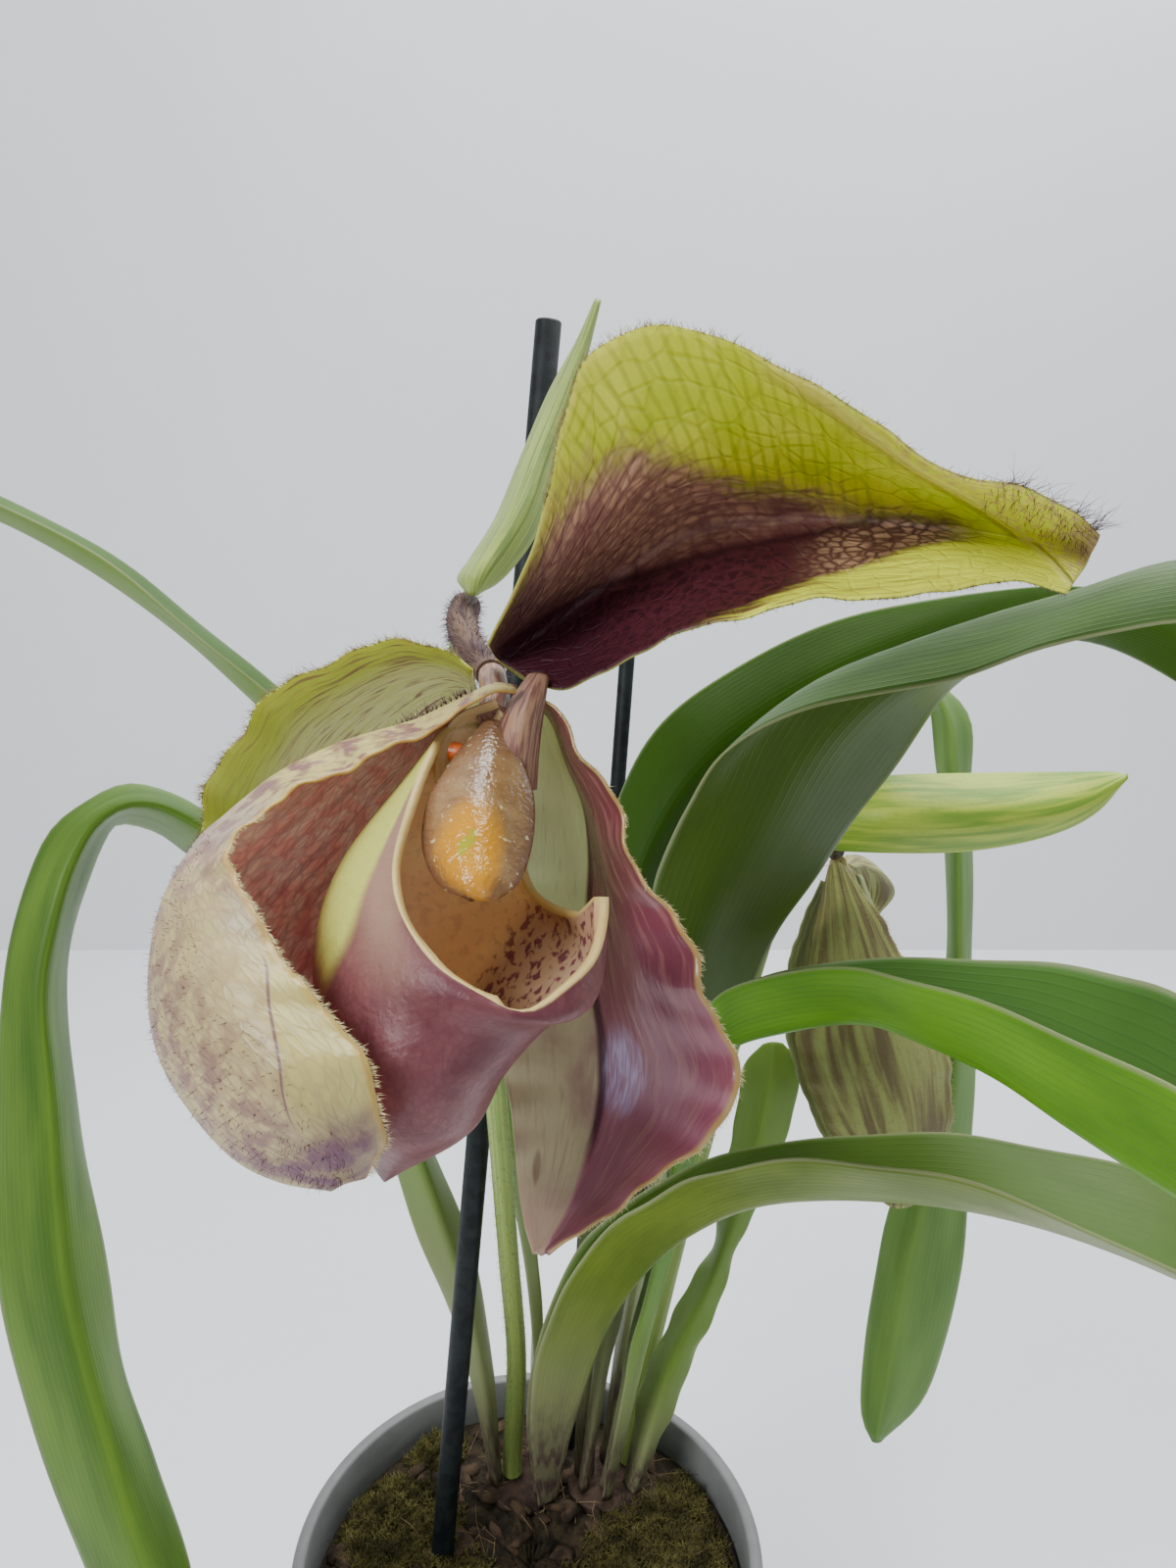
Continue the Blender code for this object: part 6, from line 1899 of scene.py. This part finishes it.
    def make_cushion_shade_beds(self, cushions: tuple[tuple[float, ...], ...]) -> None:
        """Beds under the moss strands that fill out the cushions, coloured as a darker copy of the moss:
        painted shade under and between the strands.

        Args:
            cushions: Place, reach, rise and share of the strands of each cushion.
        """
        vertices, faces = [], []
        rings, facets = 8, 28
        for x, y, reach, rise, _ in cushions:
            start = len(vertices)
            for ring in range(rings + 1):
                share = ring / rings
                for facet in range(facets):
                    turn = 2 * math.pi * facet / facets
                    px = x + reach * share * math.cos(turn)
                    py = y + reach * share * math.sin(turn)
                    far = math.hypot(px, py)
                    if far > self.moss_reach:
                        px, py = px * self.moss_reach / far, py * self.moss_reach / far
                    level = float(self.mix_height(np.hypot(px, py), np.arctan2(py, px)))
                    wobble = 0.7 + 0.3 * math.sin(px * 900) * math.cos(py * 800)
                    dome = rise * (1 - share ** 2) * wobble * 0.75
                    vertices.append((px, py, level + dome - 0.0004 * (share > 0.9)))
            under = len(vertices)
            vertices += [(px, py, pz - 0.003) for px, py, pz in vertices[under - facets:]]
            faces += grid_faces(rings + 1, facets, True, start)
            faces.append(tuple(under + facet for facet in reversed(range(facets))))
        thing = link_mesh("moss_beds", np.array(vertices), faces)
        # Darker copy of the moss colour: painted shade under the strands
        shade_bed = GroundFinish("moss_bed", (0.022, 0.018, 0.006), (0.080, 0.068, 0.020), 260.0, 0.95, 0.0015)
        dress(thing, shade_bed.make())

    def make_stakes(self) -> None:
        """Two dark plastic-coated stakes."""
        coat = GroundFinish("stake_coat", (0.004, 0.006, 0.007), (0.012, 0.017, 0.018), 300.0, 0.5,
                            0.00012, 0.25).make()
        soft = 0.0004
        for node, foot, top, radius in (
            ("stake_front", STAKE_FRONT_FOOT, STAKE_FRONT_TOP, 0.0029),
            ("stake_back", STAKE_BACK_FOOT, STAKE_BACK_TOP, 0.0019),
        ):
            low, high = np.array(foot), np.array(top)
            axis = (high - low) / np.linalg.norm(high - low)
            start = low - axis * self.stake_depth
            stations = np.array((start, low, (low + high) / 2, high - axis * soft, high))
            radii = np.array((radius, radius, radius, radius, radius - soft))
            thing = make_rod(node + "_fine", stations, radii, 32)
            dress(thing, coat, (node,))


@dataclass
class Studio:
    """Pale floor and wall, soft lights and the camera."""

    floor_size: float = 6.0
    wall_distance: float = 0.62
    wall_height: float = 4.0

    def build(self) -> None:
        """Set the stage."""
        self.make_stage()
        self.make_lights()
        self.make_camera()

    def make_stage(self) -> None:
        """Floor and wall."""
        pale = GroundFinish("pale_paint", (0.80, 0.82, 0.84), (0.84, 0.85, 0.87), 3.0, 0.9, 0.0001, 0.2)
        paint = pale.make()
        half, back, top = self.floor_size / 2, self.wall_distance, self.wall_height
        for name, corners, face in (
            ("floor", ((-half, -half, 0), (half, -half, 0), (half, half, 0), (-half, half, 0)),
             (0, 1, 2, 3)),
            ("wall", ((-half, back, 0), (half, back, 0), (half, back, top), (-half, back, top)),
             (3, 2, 1, 0)),
        ):
            thing = link_mesh(name, np.array(corners), [face])
            thing.data.materials.append(paint)

    def make_lights(self) -> None:
        """A broad top light, a window on the left and a soft fill."""
        world = bpy.data.worlds.new("studio")
        bpy.context.scene.world = world
        world.use_nodes = True
        world.node_tree.nodes["Background"].inputs[0].default_value = (0.86, 0.90, 0.96, 1.0)
        world.node_tree.nodes["Background"].inputs[1].default_value = 0.36
        for name, place, target, size, power in (
            ("top_light", (0.25, 0.35, 1.10), (0.0, 0.0, 0.25), 0.8, 17.0),
            ("window_light", (-0.55, -0.60, 0.95), (0.0, -0.08, 0.28), 0.45, 9.0),
            ("front_fill", (0.55, -0.95, 0.55), (0.0, 0.0, 0.25), 0.9, 1.5),
        ):
            lamp = bpy.data.lights.new(name, "AREA")
            lamp.size = size
            lamp.energy = power
            thing = bpy.data.objects.new(name, lamp)
            bpy.context.scene.collection.objects.link(thing)
            thing.location = place
            aim = Vector(target) - Vector(place)
            thing.rotation_euler = aim.to_track_quat("-Z", "Y").to_euler()

    def make_camera(self) -> None:
        """Camera at the photograph's view."""
        lens = bpy.data.cameras.new("view")
        lens.sensor_fit = "AUTO"
        lens.sensor_width = SENSOR
        lens.lens = SENSOR * VIEW_FOCAL / VIEW_ROWS
        lens.clip_start = 0.005
        lens.dof.use_dof = False
        camera = bpy.data.objects.new("view", lens)
        bpy.context.scene.collection.objects.link(camera)
        camera.location = VIEW_EYE
        camera.rotation_euler = (math.radians(90) - VIEW_TILT, 0.0, 0.0)
        bpy.context.scene.camera = camera


def main() -> None:
    """Build every part of the scene in order."""
    logging.basicConfig(level=logging.INFO, format="%(name)s %(message)s")
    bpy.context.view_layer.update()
    for assembly in (Studio(), PotAndMix(), Foliage(), SecondFlower(), MainFlower()):
        LOG.info("building %s", type(assembly).__name__)
        assembly.build()


if __name__ == "__main__":
    main()
